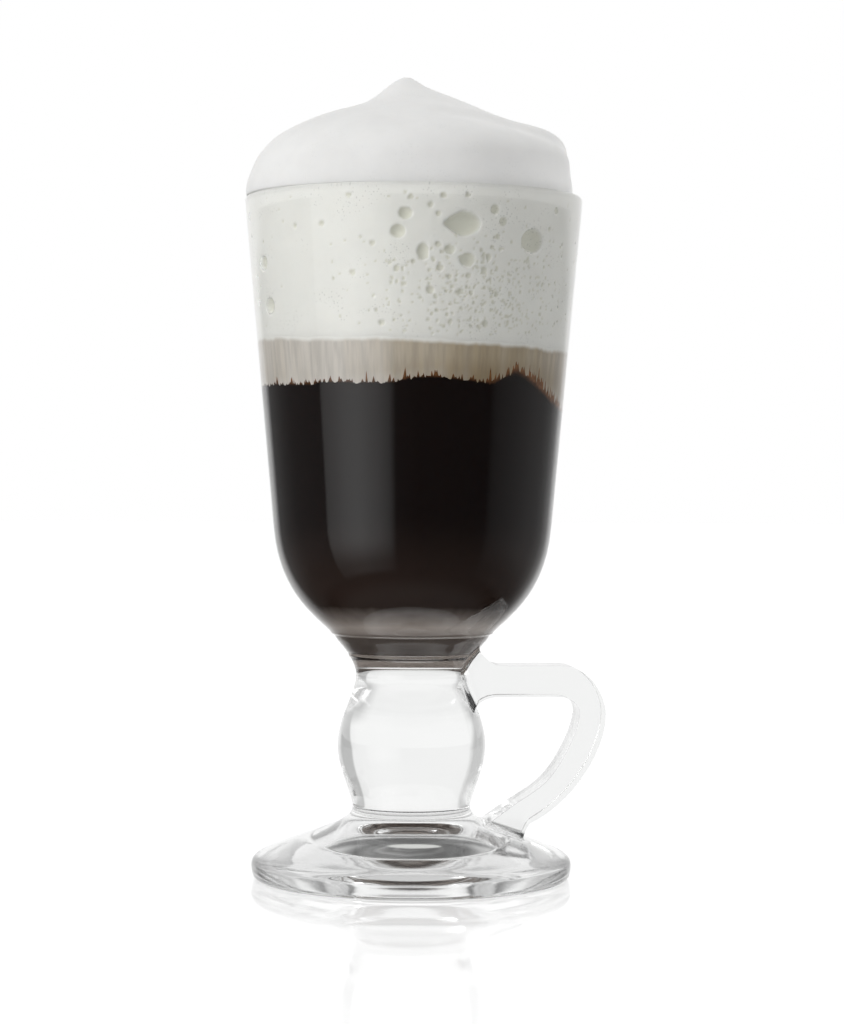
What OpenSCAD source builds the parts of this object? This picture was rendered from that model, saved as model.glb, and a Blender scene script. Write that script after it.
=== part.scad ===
// Footed glass mug for irish coffee, filled: a blown bowl on a pressed stem and foot,
// a strap handle fused to stem and foot, and the layered drink with its foam.
// Origin: centre of the foot on the table. +Z up, handle towards +X.

/* [Bowl] */
// Height of the rim above the table
rim_z = 150; // [140:1:160]
// Outer diameter of the rim
rim_d = 74.2; // [70:0.2:80]
// Outer diameter where the straight wall meets the round bottom
belly_d = 61.1; // [57:0.2:65]
// Height where the straight wall meets the round bottom
belly_z = 77; // [73:0.5:81]
// Height of the seam between bowl and stem
seam_z = 52.6; // [50:0.2:55]
// Diameter of the seam between bowl and stem
seam_d = 33; // [31:0.2:35]
// Glass thickness at the rim
rim_wall = 2; // [1.6:0.1:2.6]
// Glass thickness at the belly
belly_wall = 2.5; // [2:0.1:3.2]
// Glass thickness in the middle of the bowl's floor
floor_wall = 2; // [1.4:0.1:3]

/* [Stem] */
// Height of the waist under the bowl
waist_z = 45; // [43:0.5:47]
// Diameter of the waist
waist_d = 24.6; // [23:0.2:27]
// Height of the widest place of the knop
knop_z = 29.4; // [28:0.2:31]
// Diameter of the knop
knop_d = 32.6; // [30:0.2:35]
// Height of the seam between stem and foot
neck_z = 16; // [15:0.2:17]
// Diameter of the neck at that seam
neck_d = 25.8; // [24:0.2:28]

/* [Foot] */
// Diameter of the foot
foot_d = 70.5; // [66:0.5:75]
// Height of the foot's widest place
foot_edge_z = 3.4; // [2.8:0.1:4]
// Diameter where the foot's round edge runs into its cone
cone_d = 63; // [60:0.5:65]
// Height where the foot's round edge runs into its cone
cone_z = 6.5; // [5.8:0.1:7.2]
// Diameter where the cone sweeps up to the neck
sweep_d = 36; // [33:0.5:40]
// Diameter of the middle of the flat rest ring
ring_d = 66; // [62:0.5:67]
// Width of the flat rest ring
ring_w = 2; // [1.4:0.1:2.6]
// Diameter of the dome pressed into the underside
dome_d = 40; // [36:0.5:44]
// Height of the dome's top above the table
dome_z = 8.5; // [7:0.1:10]
// Height of the underside around the dome
recess_h = 1.8; // [1.4:0.1:2.4]

/* [Handle] */
// Width of the strap, across the handle's plane
strap_w = 11.3; // [9:0.1:13]
// Height of the strap's straight upper arm
strap_h = 6.8; // [5.6:0.1:7.6]
// Distance from the bowl's seam down to the upper arm
arm_drop = 5.5; // [5.2:0.1:7]
// Reach of the handle from the mug's axis
reach = 42.4; // [40:0.2:46]
// Distance from the upper arm's top down to the outermost place
bow_drop = 10.7; // [9.5:0.1:12]
// Thickness of the strap at its outermost place
bow_t = 5.8; // [5:0.1:6.6]
// Rounding of the strap's long edges
strap_round = 0.6; // [0.4:0.1:1.6]
// Widening of the strap on each side where it is fused on
root_flare = 0.8; // [0:0.1:1]

/* [Drink] */
// Height of the coffee's surface
coffee_z = 109; // [100:0.5:112]
// Height of the stained cream between coffee and foam
cream_h = 9.6; // [6:0.2:12]
// Height of the foam's peak above the rim
peak_h = 26.4; // [23:0.2:30]
// Height of the foam's shoulder above the rim
shoulder_h = 11; // [9:0.2:13]
// Distance of the foam's foot from the rim's outside, away from the handle
foam_in_left = 0.3; // [0.2:0.1:2]
// Distance of the foam's foot from the rim's outside, on the handle's side
foam_in_right = 2.4; // [0.5:0.1:4]
// How far the foam's shoulder draws in from the rim's outside
shoulder_in = 4.8; // [3.5:0.1:6]
// How far the peak leans away from the handle
peak_lean = 1.9; // [0:0.1:4]

/* [Hidden] */
$fn = 96;

glass = [0.86, 0.92, 0.90, 0.45];
coffee_brown = [0.09, 0.05, 0.04];
cream_tan = [0.72, 0.66, 0.60];
foam_white = [0.93, 0.93, 0.91];
crown_white = [0.98, 0.98, 0.97];

rim_r = rim_d / 2;
belly_r = belly_d / 2;
seam_r = seam_d / 2;
waist_r = waist_d / 2;
knop_r = knop_d / 2;
neck_r = neck_d / 2;
foot_r = foot_d / 2;
cone_r = cone_d / 2;
sweep_r = sweep_d / 2;
dome_r = dome_d / 2;

// a stretch of outline from a to b, without b: a cubic curve that leaves along one direction
// and arrives along another, both given as shares of the straight distance from a to b
function blend(p, q, t) = p + (q - p) * t;
function cubic(p, t) =
    len(p) == 1 ? p[0] : cubic([for (i = [1:len(p) - 1]) blend(p[i - 1], p[i], t)], t);
function bend(a, b, shares, steps) =
    let (d = norm(b - a), p = [a, a + d * shares[0], b - d * shares[1], b])
    [for (i = [0:steps - 1]) cubic(p, i / steps)];
function reversed(list) = [for (i = [len(list) - 1:-1:0]) list[i]];

// points along a stretch of outline: long, middling and short ones
long_steps = 24;
turn_steps = 20;
curve_steps = 10;
short_steps = 8;

// Bowl

turn_shares = [[0.059, 0.125], [0.053, 0.59]];
inner_turn_shares = [[0.53, 0], [0.041, 0.418]];
bead_r = rim_wall / 2;
bead_z = rim_z - bead_r;
inner_rim_r = rim_r - rim_wall;
inner_belly_r = belly_r - belly_wall;
inner_floor_z = seam_z + floor_wall;

// inside of the bowl, from the middle of its floor to the start of the rim's bead
bowl_inner = concat(
    bend([0, inner_floor_z], [inner_belly_r, belly_z], inner_turn_shares, long_steps),
    [[inner_belly_r, belly_z]]);
inner_slope = (inner_rim_r - inner_belly_r) / (bead_z - belly_z);
function inner_r(z) = inner_belly_r + (z - belly_z) * inner_slope;

// the rim is a half round bead
bead_steps = 12;
bead_mid_r = rim_r - bead_r;
bead = [for (i = [0:bead_steps])
    let (a = 180 * i / bead_steps)
    [bead_mid_r + bead_r * cos(a), bead_z + bead_r * sin(a)]];

module bowl() {
    outer = bend([seam_r, seam_z], [belly_r, belly_z], turn_shares, turn_steps);
    color(glass)
        rotate_extrude()
            polygon(concat([[0, seam_z]], outer, [[belly_r, belly_z]], bead, reversed(bowl_inner)));
}

// Stem

neck_shares = [[0.041, 0.236], [0, 0.331]];
knop_shares = [[0, 0.372], [0, 0.245]];
funnel_shares = [[0, 0.184], [0.311, 0.323]];

module stem() {
    neck = [neck_r, neck_z];
    knop = [knop_r, knop_z];
    waist = [waist_r, waist_z];
    seam = [seam_r, seam_z];
    side = concat(
        bend(neck, knop, neck_shares, curve_steps),
        bend(knop, waist, knop_shares, curve_steps),
        bend(waist, seam, funnel_shares, short_steps));
    color(glass)
        rotate_extrude()
            polygon(concat([[0, neck_z]], side, [seam, [0, seam_z]]));
}

// Foot

cone_slope = 0.374;
edge_under_shares = [[0.2, 0], [0, 0.53]];
edge_top_shares = [[0, 0.31], [-0.39, 0.146]];
sweep_shares = [[-0.4, 0.149], [0, 0.266]];
dome_shares = [[0.45, 0], [0.22, -0.14]];
under_shares = [[0.3, -0.04], [0.1, -0.06]];
function foot_top(r) = cone_z + (cone_r - r) * cone_slope;

module foot() {
    edge = [foot_r, foot_edge_z];
    ring_in = [(ring_d - ring_w) / 2, 0];
    ring_out = [(ring_d + ring_w) / 2, 0];
    dome_rim = [dome_r, recess_h];
    underside = concat(
        bend([0, dome_z], dome_rim, dome_shares, curve_steps),
        bend(dome_rim, ring_in, under_shares, short_steps),
        [ring_in]);
    top = concat(
        bend(edge, [cone_r, cone_z], edge_top_shares, short_steps),
        [[cone_r, cone_z]],
        bend([sweep_r, foot_top(sweep_r)], [neck_r, neck_z], sweep_shares, curve_steps));
    side = bend(ring_out, edge, edge_under_shares, short_steps);
    color(glass)
        rotate_extrude()
            polygon(concat(underside, side, top, [[neck_r, neck_z], [0, neck_z]]));
}

// Handle: a strap whose outer and inner sides are two lines in the handle's plane

arm_z = seam_z - arm_drop;
bow_z = arm_z - bow_drop;
// the upper root: how far it is fused into the waist, runs out from it above and below,
// and spreads up and down
waist_bite = 2.8;
root_run_top = 7.7;
root_run_low = 7;
root_up = 5;
root_down = 4.7;
// the bend: where its outer and inner sides start, back from the outermost place
bend_out = 9.4;
bend_in = 5.6;
// the lower root: where its sides start, as distances from the neck and above the foot's cone
heel_run = 13.3;
heel_rise = 4.2;
toe_run = 8.6;
toe_rise = 6;
// and how far it is fused into the foot and the neck
heel_bite = 6.2;
neck_bite = 4.9;
sink_share = 0.45;

root_out_shares = [[0.53, -0.01], [0.43, 0]];
root_in_shares = [[0.42, 0.24], [0.42, 0]];
bow_out_shares = [[0.35, 0], [0, -0.36]];
bow_in_shares = [[0.465, 0], [0, -0.42]];
arm_out_shares = [[0, -0.305], [-0.286, -0.14]];
arm_in_shares = [[0, -0.19], [-0.346, -0.183]];
heel_shares = [[-0.2, -0.09], [-0.52, -0.36]];
toe_shares = [[-0.348, -0.096], [-0.489, -0.481]];
root_steps = 8;
bow_steps = 10;
arm_steps = 12;

root_x = waist_r - waist_bite;
arm_top_x = waist_r + root_run_top;
arm_low_x = waist_r + root_run_low;
heel_x = neck_r + heel_run;
toe_x = neck_r + toe_run;
heel = [heel_x, foot_top(heel_x) + heel_rise];
toe = [toe_x, foot_top(toe_x) + toe_rise];
heel_end = [heel_x - heel_bite, foot_top(heel_x - heel_bite) * sink_share];
toe_end = [neck_r - neck_bite, neck_z];
arm_low_z = arm_z - strap_h;

outer_line = concat(
    bend([root_x, arm_z + root_up], [arm_top_x, arm_z], root_out_shares, root_steps),
    [[arm_top_x, arm_z]],
    bend([reach - bend_out, arm_z], [reach, bow_z], bow_out_shares, bow_steps),
    bend([reach, bow_z], heel, arm_out_shares, arm_steps),
    bend(heel, heel_end, heel_shares, root_steps),
    [heel_end]);
inner_line = concat(
    bend([root_x, arm_low_z - root_down], [arm_low_x, arm_low_z], root_in_shares, root_steps),
    [[arm_low_x, arm_low_z]],
    bend([reach - bow_t - bend_in, arm_low_z], [reach - bow_t, bow_z], bow_in_shares, bow_steps),
    bend([reach - bow_t, bow_z], toe, arm_in_shares, arm_steps),
    bend(toe, toe_end, toe_shares, root_steps),
    [toe_end]);

// half width of the strap at each station, wider towards both roots
stations = len(outer_line);
function root_share(i) = max(0, 1 - i / root_steps, 1 - (stations - 1 - i) / root_steps);
function half_w(i) = strap_w / 2 + root_flare * root_share(i);

// the section at a station: a rectangle with rounded corners between the two sides
corner_steps = 3;
corner_shares = [[1, 1], [-1, 1], [-1, -1], [1, -1]];
ring_n = 4 * (corner_steps + 1);
function section(o, i, w) =
    let (middle = (o + i) / 2, half = norm(o - i) / 2, up = (o - i) / (2 * half))
    [for (k = [0:3], j = [0:corner_steps])
        let (a = 90 * (k + j / corner_steps),
             y = (w - strap_round) * corner_shares[k][0] + strap_round * cos(a),
             u = (half - strap_round) * corner_shares[k][1] + strap_round * sin(a),
             p = middle + up * u)
        [p[0], y, p[1]]];

// closed skin over rings of n points each, laid one after another
function skin_faces(rings, n) = concat(
    [[for (j = [0:n - 1]) j]],
    [for (i = [1:rings - 1], j = [0:n - 1])
        let (k = (j + 1) % n, a = (i - 1) * n + j, b = (i - 1) * n + k, c = i * n + k)
        [a, c, b]],
    [for (i = [1:rings - 1], j = [0:n - 1])
        let (k = (j + 1) % n, a = (i - 1) * n + j, c = i * n + k, d = i * n + j)
        [a, d, c]],
    [[for (j = [n - 1:-1:0]) (rings - 1) * n + j]]);

module strap() {
    polyhedron(
        [for (i = [0:stations - 1]) each section(outer_line[i], inner_line[i], half_w(i))],
        skin_faces(stations, ring_n));
}

module handle() {
    color(glass)
        difference() {
            strap();
            stem();
            foot();
        }
}

// Drink: each layer fills the bowl's inside up to the next one

cream_z = coffee_z + cream_h;

module coffee() {
    color(coffee_brown)
        rotate_extrude()
            polygon(concat(bowl_inner, [[inner_r(coffee_z), coffee_z], [0, coffee_z]]));
}

module stained_cream() {
    color(cream_tan)
        rotate_extrude()
            polygon([
                [0, coffee_z],
                [inner_r(coffee_z), coffee_z],
                [inner_r(cream_z), cream_z],
                [0, cream_z]]);
}

module milk_foam() {
    color(foam_white)
        rotate_extrude()
            polygon([
                [0, cream_z],
                [inner_r(cream_z), cream_z],
                [inner_rim_r, bead_z],
                [inner_rim_r, rim_z],
                [0, rim_z]]);
}

// The foam's crown: level rings between a left and a right side line, closing in a leaning peak.
// Each line runs from its foot over a shoulder and a tip to the peak; the shares along a stretch are
// of its own change in distance and in height, so both lines reach each height together.

shoulder_in_shares = [1.06, 0.92];
tip_r_shares = [0.243, 0.286];
tip_h_share = 0.66;
rise_shares = [[0.659, 0.914], [0.453, 0.38], [0.966, 0.593]];
left_shares = [[0.027, 0.828], [0.25, 0.271], [0.889, 0.505]];
right_shares = [[0.175, 0.462], [0.169, 0.395], [1.099, 0.604]];
peak_r_share = 1 / 3;
crown_steps = 7;
crown_n = 32;

crown_heights = [0, shoulder_h, blend(shoulder_h, peak_h, tip_h_share), peak_h];

// values of a smooth curve over all stretches, through ends and pulled by shares
function crown_curve(ends, shares) = concat(
    [for (k = [0:len(shares) - 1], i = [0:crown_steps - 1])
        let (a = ends[k], b = ends[k + 1])
        cubic([a, blend(a, b, shares[k][0]), blend(a, b, shares[k][1]), b], i / crown_steps)],
    [ends[len(ends) - 1]]);

function crown_ends(side, foam_in, end_r) =
    [rim_r - foam_in, rim_r - shoulder_in * shoulder_in_shares[side], rim_r * tip_r_shares[side], end_r];

module foam_crown() {
    peak_r = rim_wall * peak_r_share;
    left = crown_curve(crown_ends(0, foam_in_left, peak_r + peak_lean), left_shares);
    right = crown_curve(crown_ends(1, foam_in_right, peak_r - peak_lean), right_shares);
    heights = crown_curve(crown_heights, rise_shares);
    rings = len(heights);
    color(crown_white)
        translate([0, 0, rim_z])
            polyhedron(
                [for (i = [0:rings - 1], j = [0:crown_n - 1])
                    let (a = -360 * j / crown_n, r = (left[i] + right[i]) / 2, x = right[i] - r)
                    [x + r * cos(a), r * sin(a), heights[i]]],
                skin_faces(rings, crown_n));
}

bowl();
stem();
foot();
handle();
coffee();
stained_cream();
milk_foam();
foam_crown();
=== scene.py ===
"""Footed irish coffee mug: clear glass bowl, stem, foot and strap handle, and the layered drink.

Laid out as an add-on: sizes and colours are properties, each piece or group of like pieces has its
own operator, and main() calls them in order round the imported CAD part.
"""

import math

import bpy
import numpy as np
from mathutils import Matrix, Vector
from mathutils.geometry import delaunay_2d_cdt


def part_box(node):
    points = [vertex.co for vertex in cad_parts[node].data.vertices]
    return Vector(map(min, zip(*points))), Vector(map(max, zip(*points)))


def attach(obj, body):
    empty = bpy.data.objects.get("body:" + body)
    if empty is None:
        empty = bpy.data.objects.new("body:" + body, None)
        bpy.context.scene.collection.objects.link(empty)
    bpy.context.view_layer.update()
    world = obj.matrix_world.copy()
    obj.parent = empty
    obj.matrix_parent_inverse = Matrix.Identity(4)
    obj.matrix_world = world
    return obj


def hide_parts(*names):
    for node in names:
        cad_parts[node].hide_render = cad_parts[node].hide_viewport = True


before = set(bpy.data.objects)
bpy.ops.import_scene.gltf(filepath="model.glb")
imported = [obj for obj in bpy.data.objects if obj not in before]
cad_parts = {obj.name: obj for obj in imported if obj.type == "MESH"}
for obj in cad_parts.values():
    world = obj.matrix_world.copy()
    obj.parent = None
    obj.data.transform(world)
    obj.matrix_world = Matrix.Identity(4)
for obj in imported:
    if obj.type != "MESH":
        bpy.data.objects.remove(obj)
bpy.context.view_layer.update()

bl_info = {
    "name": "Irish Coffee Mug",
    "version": (1, 0, 0),
    "blender": (4, 5, 0),
    "location": "View3D > Sidebar > Mug",
    "description": "Builds a footed glass mug of irish coffee round its CAD part",
    "category": "Add Mesh",
}

MM = 0.001
BLACK = (0, 0, 0)
WHITE = (1, 1, 1)
BODY = "root"
FULL_TURN = 2 * math.pi


# Properties


def size(name, description, millimetres):
    """A length that a user may change."""
    return bpy.props.FloatProperty(
        name=name,
        description=description,
        default=millimetres * MM,
        subtype="DISTANCE",
        unit="LENGTH",
        precision=4,
    )


def tint(name, description, colour):
    """A colour that a user may change."""
    return bpy.props.FloatVectorProperty(
        name=name, description=description, default=colour, subtype="COLOR", size=3, min=0, max=1
    )


def top_of(node):
    """Height of a CAD node's highest corner, in millimetres."""
    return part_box(node)[1].z / MM


class MugGlassSizes(bpy.types.PropertyGroup):
    """Sizes of the glass."""

    rim_height: size("Rim height", "Height of the rim above the table", top_of("bowl"))
    rim_radius: size("Rim radius", "Outer radius of the rim", 37.1)
    belly_radius: size("Belly radius", "Outer radius where wall and round bottom meet", 30.55)
    belly_height: size("Belly height", "Height where wall and round bottom meet", 77)
    seam_height: size("Seam height", "Height where the bowl is fused to the stem", top_of("stem"))
    seam_radius: size("Seam radius", "Radius where the bowl is fused to the stem", 16.5)
    rim_wall: size("Rim wall", "Glass thickness at the rim", 2)
    belly_wall: size("Belly wall", "Glass thickness at the belly", 2.5)
    floor_wall: size("Floor wall", "Glass thickness in the middle of the bowl's floor", 2)
    waist_height: size("Waist height", "Height of the waist under the bowl", 45)
    waist_radius: size("Waist radius", "Radius of the waist", 12.3)
    knop_height: size("Knop height", "Height of the widest place of the knop", 29.4)
    knop_radius: size("Knop radius", "Radius of the knop", 16.3)
    neck_height: size("Neck height", "Height where stem and foot are fused", top_of("foot"))
    neck_radius: size("Neck radius", "Radius where stem and foot are fused", 12.9)
    foot_radius: size("Foot radius", "Radius of the foot", 35.25)
    foot_edge_height: size("Foot edge height", "Height of the foot's widest place", 3.4)
    dome_height: size("Dome height", "Height of the dome pressed into the underside", 8.8)
    strap_width: size("Strap width", "Width of the handle's strap", 11.3)
    strap_height: size("Strap height", "Height of the handle's upper arm", 6.8)
    strap_round: size("Strap rounding", "Rounding of the strap's long edges", 0.15)
    reach: size("Handle reach", "Distance of the handle's outermost place from the axis", 42.4)


class MugDrinkSizes(bpy.types.PropertyGroup):
    """Sizes of the drink."""

    peak_height: size("Peak height", "Height of the foam's peak above the table", top_of("foam_crown"))
    into_wall: size("Contact depth", "How far the drink reaches into the wall, to leave no air", 0.15)


class MugColours(bpy.types.PropertyGroup):
    """Colours of the finishes."""

    glass: tint("Glass", "Tint of the bowl's and the stem's glass", (0.962, 0.968, 0.962))
    pressed_glass: tint("Pressed glass", "Tint of the foot's and strap's glass", (0.985, 0.990, 0.985))
    coffee: tint("Coffee", "Coffee in the bowl", (0.005, 0.0022, 0.0018))
    # Painted glow: the coffee's lighter, browner colour low in the bowl
    coffee_painted_glow: tint("Coffee near the floor", "Coffee low in the bowl", (0.03, 0.018, 0.014))
    wisp: tint("Coffee wisps", "Thin coffee that rises into the cream", (0.24, 0.105, 0.042))
    cream_pale: tint("Stained cream, pale", "Stained cream where it is palest", (0.60, 0.565, 0.52))
    cream_tan: tint("Stained cream, tan", "Stained cream where it is browned most", (0.42, 0.345, 0.24))
    foam: tint("Milk foam", "Foam behind the glass", (0.87, 0.868, 0.83))
    crown: tint("Foam crown", "Foam above the rim", (0.915, 0.913, 0.90))
    table: tint("Table", "The plain white table", (0.5, 0.5, 0.5))


# Outline of the glass, in millimetres, as (radius, height)

# The foot's flat cone: radius and height at its outer end, and how steeply it rises inwards
CONE_R = 31.5
CONE_Z = 6.5
CONE_SLOPE = 0.374


def cone_top(r):
    """Height of the foot's cone at a radius."""
    return CONE_Z + (CONE_R - r) * CONE_SLOPE


def cubic(start, end, shares, steps):
    """Points of a cubic curve from start to end, without end; its handles are shares of the chord."""
    a = np.array(start, float)
    b = np.array(end, float)
    chord = np.linalg.norm(b - a)
    out = a + chord * np.array(shares[0])
    back = b - chord * np.array(shares[1])
    t = np.linspace(0, 1, steps, endpoint=False)[:, None]
    u = 1 - t
    return u**3 * a + 3 * u * u * t * out + 3 * u * t * t * back + t**3 * b


def along(points):
    """Distance along a polyline at each of its points."""
    steps = np.linalg.norm(np.diff(points, axis=0), axis=1)
    return np.concatenate([[0], np.cumsum(steps)])


def at_distance(points, distances):
    """Points of a polyline at the given distances along it."""
    run = along(points)
    return np.stack([np.interp(distances, run, points[:, k]) for k in range(points.shape[1])], axis=1)


def blurred(padded, spread, reach):
    """A padded line of points, each smoothed over its neighbours up to reach away, without the padding."""
    weights = np.exp(-0.5 * (np.arange(-reach, reach + 1) / spread) ** 2)
    weights /= weights.sum()
    columns = range(padded.shape[1])
    return np.stack([np.convolve(padded[:, k], weights, mode="valid") for k in columns], axis=1)


def grid_normals(grid):
    """Unit normals of rings laid one over another, each ring closed."""
    d_row = np.gradient(grid, axis=0)
    d_ring = np.roll(grid, -1, axis=1) - np.roll(grid, 1, axis=1)
    normals = np.cross(d_ring, d_row)
    return normals / np.maximum(np.linalg.norm(normals, axis=2), 1e-9)[:, :, None]


class Outline:
    """The closed outline of the fused glass: underside, outside, rim, inside, ending at the axis."""

    spacing = 0.1
    blur_steps = 4

    def __init__(self, glass):
        s = {k: getattr(glass, k) / MM for k in MugGlassSizes.__annotations__}
        sweep_r = 18
        dome_r = 20
        recess_z = 2.6
        ring_in = 32
        ring_out = 34
        bead = s["rim_wall"] / 2
        bead_z = s["rim_height"] - bead
        inner_belly = s["belly_radius"] - s["belly_wall"]
        floor_z = s["seam_height"] + s["floor_wall"]
        sweep = (sweep_r, cone_top(sweep_r))
        cone = (CONE_R, CONE_Z)
        recess = (dome_r, recess_z)
        neck = (s["neck_radius"], s["neck_height"])
        knop = (s["knop_radius"], s["knop_height"])
        waist = (s["waist_radius"], s["waist_height"])
        seam = (s["seam_radius"], s["seam_height"])
        edge = (s["foot_radius"], s["foot_edge_height"])
        belly = (s["belly_radius"], s["belly_height"])
        turn = np.linspace(0, math.pi, 40)
        centre = s["rim_radius"] - bead
        parts = [
            cubic((0, s["dome_height"]), recess, [[0.45, 0], [0.22, -0.12]], 60),
            cubic(recess, (ring_in, 0), [[0.35, -0.07], [0.12, -0.12]], 60),
            [[ring_in, 0]],
            cubic((ring_out, 0), edge, [[0.2, 0], [0, 0.53]], 40),
            cubic(edge, cone, [[0, 0.31], [-0.39, 0.146]], 40),
            [cone],
            cubic(sweep, neck, [[-0.4, 0.149], [0, 0.266]], 50),
            cubic(neck, knop, [[0.041, 0.236], [0, 0.331]], 60),
            cubic(knop, waist, [[0, 0.372], [0, 0.245]], 60),
            cubic(waist, seam, [[0, 0.184], [0.311, 0.323]], 50),
            cubic(seam, belly, [[0.059, 0.125], [0.053, 0.59]], 90),
            [belly],
            np.stack([centre + bead * np.cos(turn), bead_z + bead * np.sin(turn)], axis=1),
            cubic((inner_belly, s["belly_height"]), (0, floor_z), [[-0.041, -0.418], [-0.53, 0]], 90),
            [[0, floor_z]],
        ]
        rough = np.concatenate([np.array(p, float) for p in parts])
        count = int(along(rough)[-1] / self.spacing)
        even = at_distance(rough, np.linspace(0, along(rough)[-1], count))
        self.points = self.faired(even)
        self.edge = int(np.argmax(np.where(self.points[:, 1] < CONE_Z, self.points[:, 0], 0)))
        self.rim = int(np.argmax(self.points[:, 1]))
        self.run = along(self.points)
        self.measure()
        lip_width = 0.36
        groove_height = s["seam_height"] + 1.3
        mould_line_height = 49.5
        for place, height in ((groove_height, -0.12), (mould_line_height, 0.1)):
            self.add_lip(self.distance_at(place), height, lip_width)
            self.run = along(self.points)
            self.measure()
        self.neck = self.distance_at(s["neck_height"])
        self.seam = self.distance_at(s["seam_height"])
        self.floor_z = floor_z

    def faired(self, even):
        """Rounds the corners where two curves meet, with the ends mirrored at the axis."""
        n = 3 * self.blur_steps
        mirror = np.array([-1, 1])
        padded = np.concatenate([even[n:0:-1] * mirror, even, even[-2 : -n - 2 : -1] * mirror])
        return blurred(padded, self.blur_steps, n)

    def measure(self):
        """Works out the outward normals along the outline."""
        slope = np.gradient(self.points, axis=0)
        slope /= np.linalg.norm(slope, axis=1)[:, None]
        self.normals = np.stack([slope[:, 1], -slope[:, 0]], axis=1)

    def add_lip(self, place, height, width):
        """A low lip where two mould parts or two glass parts met: out below the place, in above it."""
        t = (self.run - place) / width
        push = -height * t * np.exp(0.5 - 0.5 * t * t)
        self.points = self.points + self.normals * push[:, None]

    def distance_at(self, z):
        """Distance along the outline where its outside has the height z."""
        outside = slice(self.edge, self.rim)
        return float(np.interp(z, self.points[outside, 1], self.run[outside]))

    def distance_inside(self, z):
        """Distance along the outline where its inside has the height z."""
        inside = slice(self.rim, len(self.points))
        return float(np.interp(-z, -self.points[inside, 1], self.run[inside]))

    def outer_r(self, z):
        """Outer radius at a height."""
        outside = slice(self.edge, self.rim)
        return np.interp(z, self.points[outside, 1], self.points[outside, 0])

    def at(self, distance):
        """(radius, height, outward normal's radius and height) at distances along the outline."""
        p = [np.interp(distance, self.run, self.points[:, k]) for k in (0, 1)]
        n = [np.interp(distance, self.run, self.normals[:, k]) for k in (0, 1)]
        return np.stack([*p, *n], axis=-1)

    def nearest(self, r, z):
        """Distance along the outline of its outside point nearest to (r, z)."""
        found = []
        outside = np.arange(self.edge, self.rim)
        for a, b in zip(r, z):
            gap = np.hypot(self.points[outside, 0] - a, self.points[outside, 1] - b)
            found.append(self.run[outside[int(np.argmin(gap))]])
        return np.array(found)

    def rows(self, start, end, turn_limit=4.0, step_limit=3.0):
        """Distances from start to end, close together where the outline turns."""
        inside = np.nonzero((self.run > start) & (self.run < end))[0]
        heading = np.unwrap(np.arctan2(self.normals[:, 1], self.normals[:, 0]))
        picked = [start]
        turned = 0.0
        for i in inside:
            turned += abs(heading[i] - heading[i - 1])
            if turned > math.radians(turn_limit) or self.run[i] - picked[-1] > step_limit:
                if end - self.run[i] > self.spacing * 2 and self.run[i] - picked[-1] > self.spacing * 2:
                    picked.append(float(self.run[i]))
                    turned = 0.0
        picked.append(end)
        return picked


# The handle's strap: cross sections between an outer and an inner line in the handle's plane


def strap_sides(glass):
    """The strap's outer and inner line, both ends running into the glass that carries it."""
    waist = glass.waist_radius / MM
    neck = glass.neck_radius / MM
    reach = glass.reach / MM
    height = glass.strap_height / MM
    arm_z = glass.seam_height / MM - 5.5
    low_z = arm_z - height
    bow_z = arm_z - 10.7
    bow_thickness = 5.8
    inner_bow_x = reach - bow_thickness
    root_x = waist - 2.8
    arm_start_x = waist + 7.7
    arm_end_x = reach - 9.4
    inner_arm_start_x = waist + 7.0
    inner_arm_end_x = inner_bow_x - 5.6
    heel_x = neck + 13.3

    heel = (heel_x, cone_top(heel_x) + 4.2)
    heel_end = (heel_x - 6.2, cone_top(heel_x - 6.2) * 0.45)
    arm_mid = (neck + 15.8, cone_top(neck + 15.8) + 13.6)
    toe_end = (neck + 1.7, glass.neck_height / MM - 4.8)
    outer = np.concatenate(
        [
            cubic((root_x, arm_z + 5), (arm_start_x, arm_z), [[0.53, -0.01], [0.43, 0]], 40),
            cubic((arm_start_x, arm_z), (arm_end_x, arm_z), [[0.3, 0], [0.3, 0]], 24),
            cubic((arm_end_x, arm_z), (reach, bow_z), [[0.35, 0], [0, -0.36]], 40),
            cubic((reach, bow_z), heel, [[0, -0.305], [-0.286, -0.14]], 70),
            cubic(heel, heel_end, [[-0.2, -0.09], [-0.52, -0.36]], 40),
        ]
    )
    inner = np.concatenate(
        [
            cubic((root_x, low_z - 4.7), (inner_arm_start_x, low_z), [[0.42, 0.24], [0.42, 0]], 40),
            cubic((inner_arm_start_x, low_z), (inner_arm_end_x, low_z), [[0.3, 0], [0.3, 0]], 24),
            cubic((inner_arm_end_x, low_z), (inner_bow_x, bow_z), [[0.465, 0], [0, -0.42]], 40),
            cubic((inner_bow_x, bow_z), arm_mid, [[0, -0.196], [-0.221, -0.19]], 54),
            cubic(arm_mid, toe_end, [[-0.202, -0.174], [-0.559, -0.419]], 56),
        ]
    )
    return outer, inner


def strap_lines(glass):
    """Stations by ring points of the strap, and half its width at each station."""
    outer, inner = strap_sides(glass)
    count = len(outer)
    ends = 40
    widening = 0.8
    share = np.clip(1 - np.minimum(np.arange(count), np.arange(count)[::-1]) / ends, 0, 1)
    half_w = glass.strap_width / MM / 2 + widening * share**1.5
    middle = (outer + inner) / 2
    half = np.linalg.norm(outer - inner, axis=1) / 2
    up = (outer - inner) / (2 * half[:, None])
    ring = []
    for y, u in strap_section(half_w, half, glass.strap_round / MM):
        p = middle + up * u[:, None]
        ring.append(np.stack([p[:, 0], y, p[:, 1]], axis=1))
    return np.stack(ring, axis=1), half_w


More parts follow.
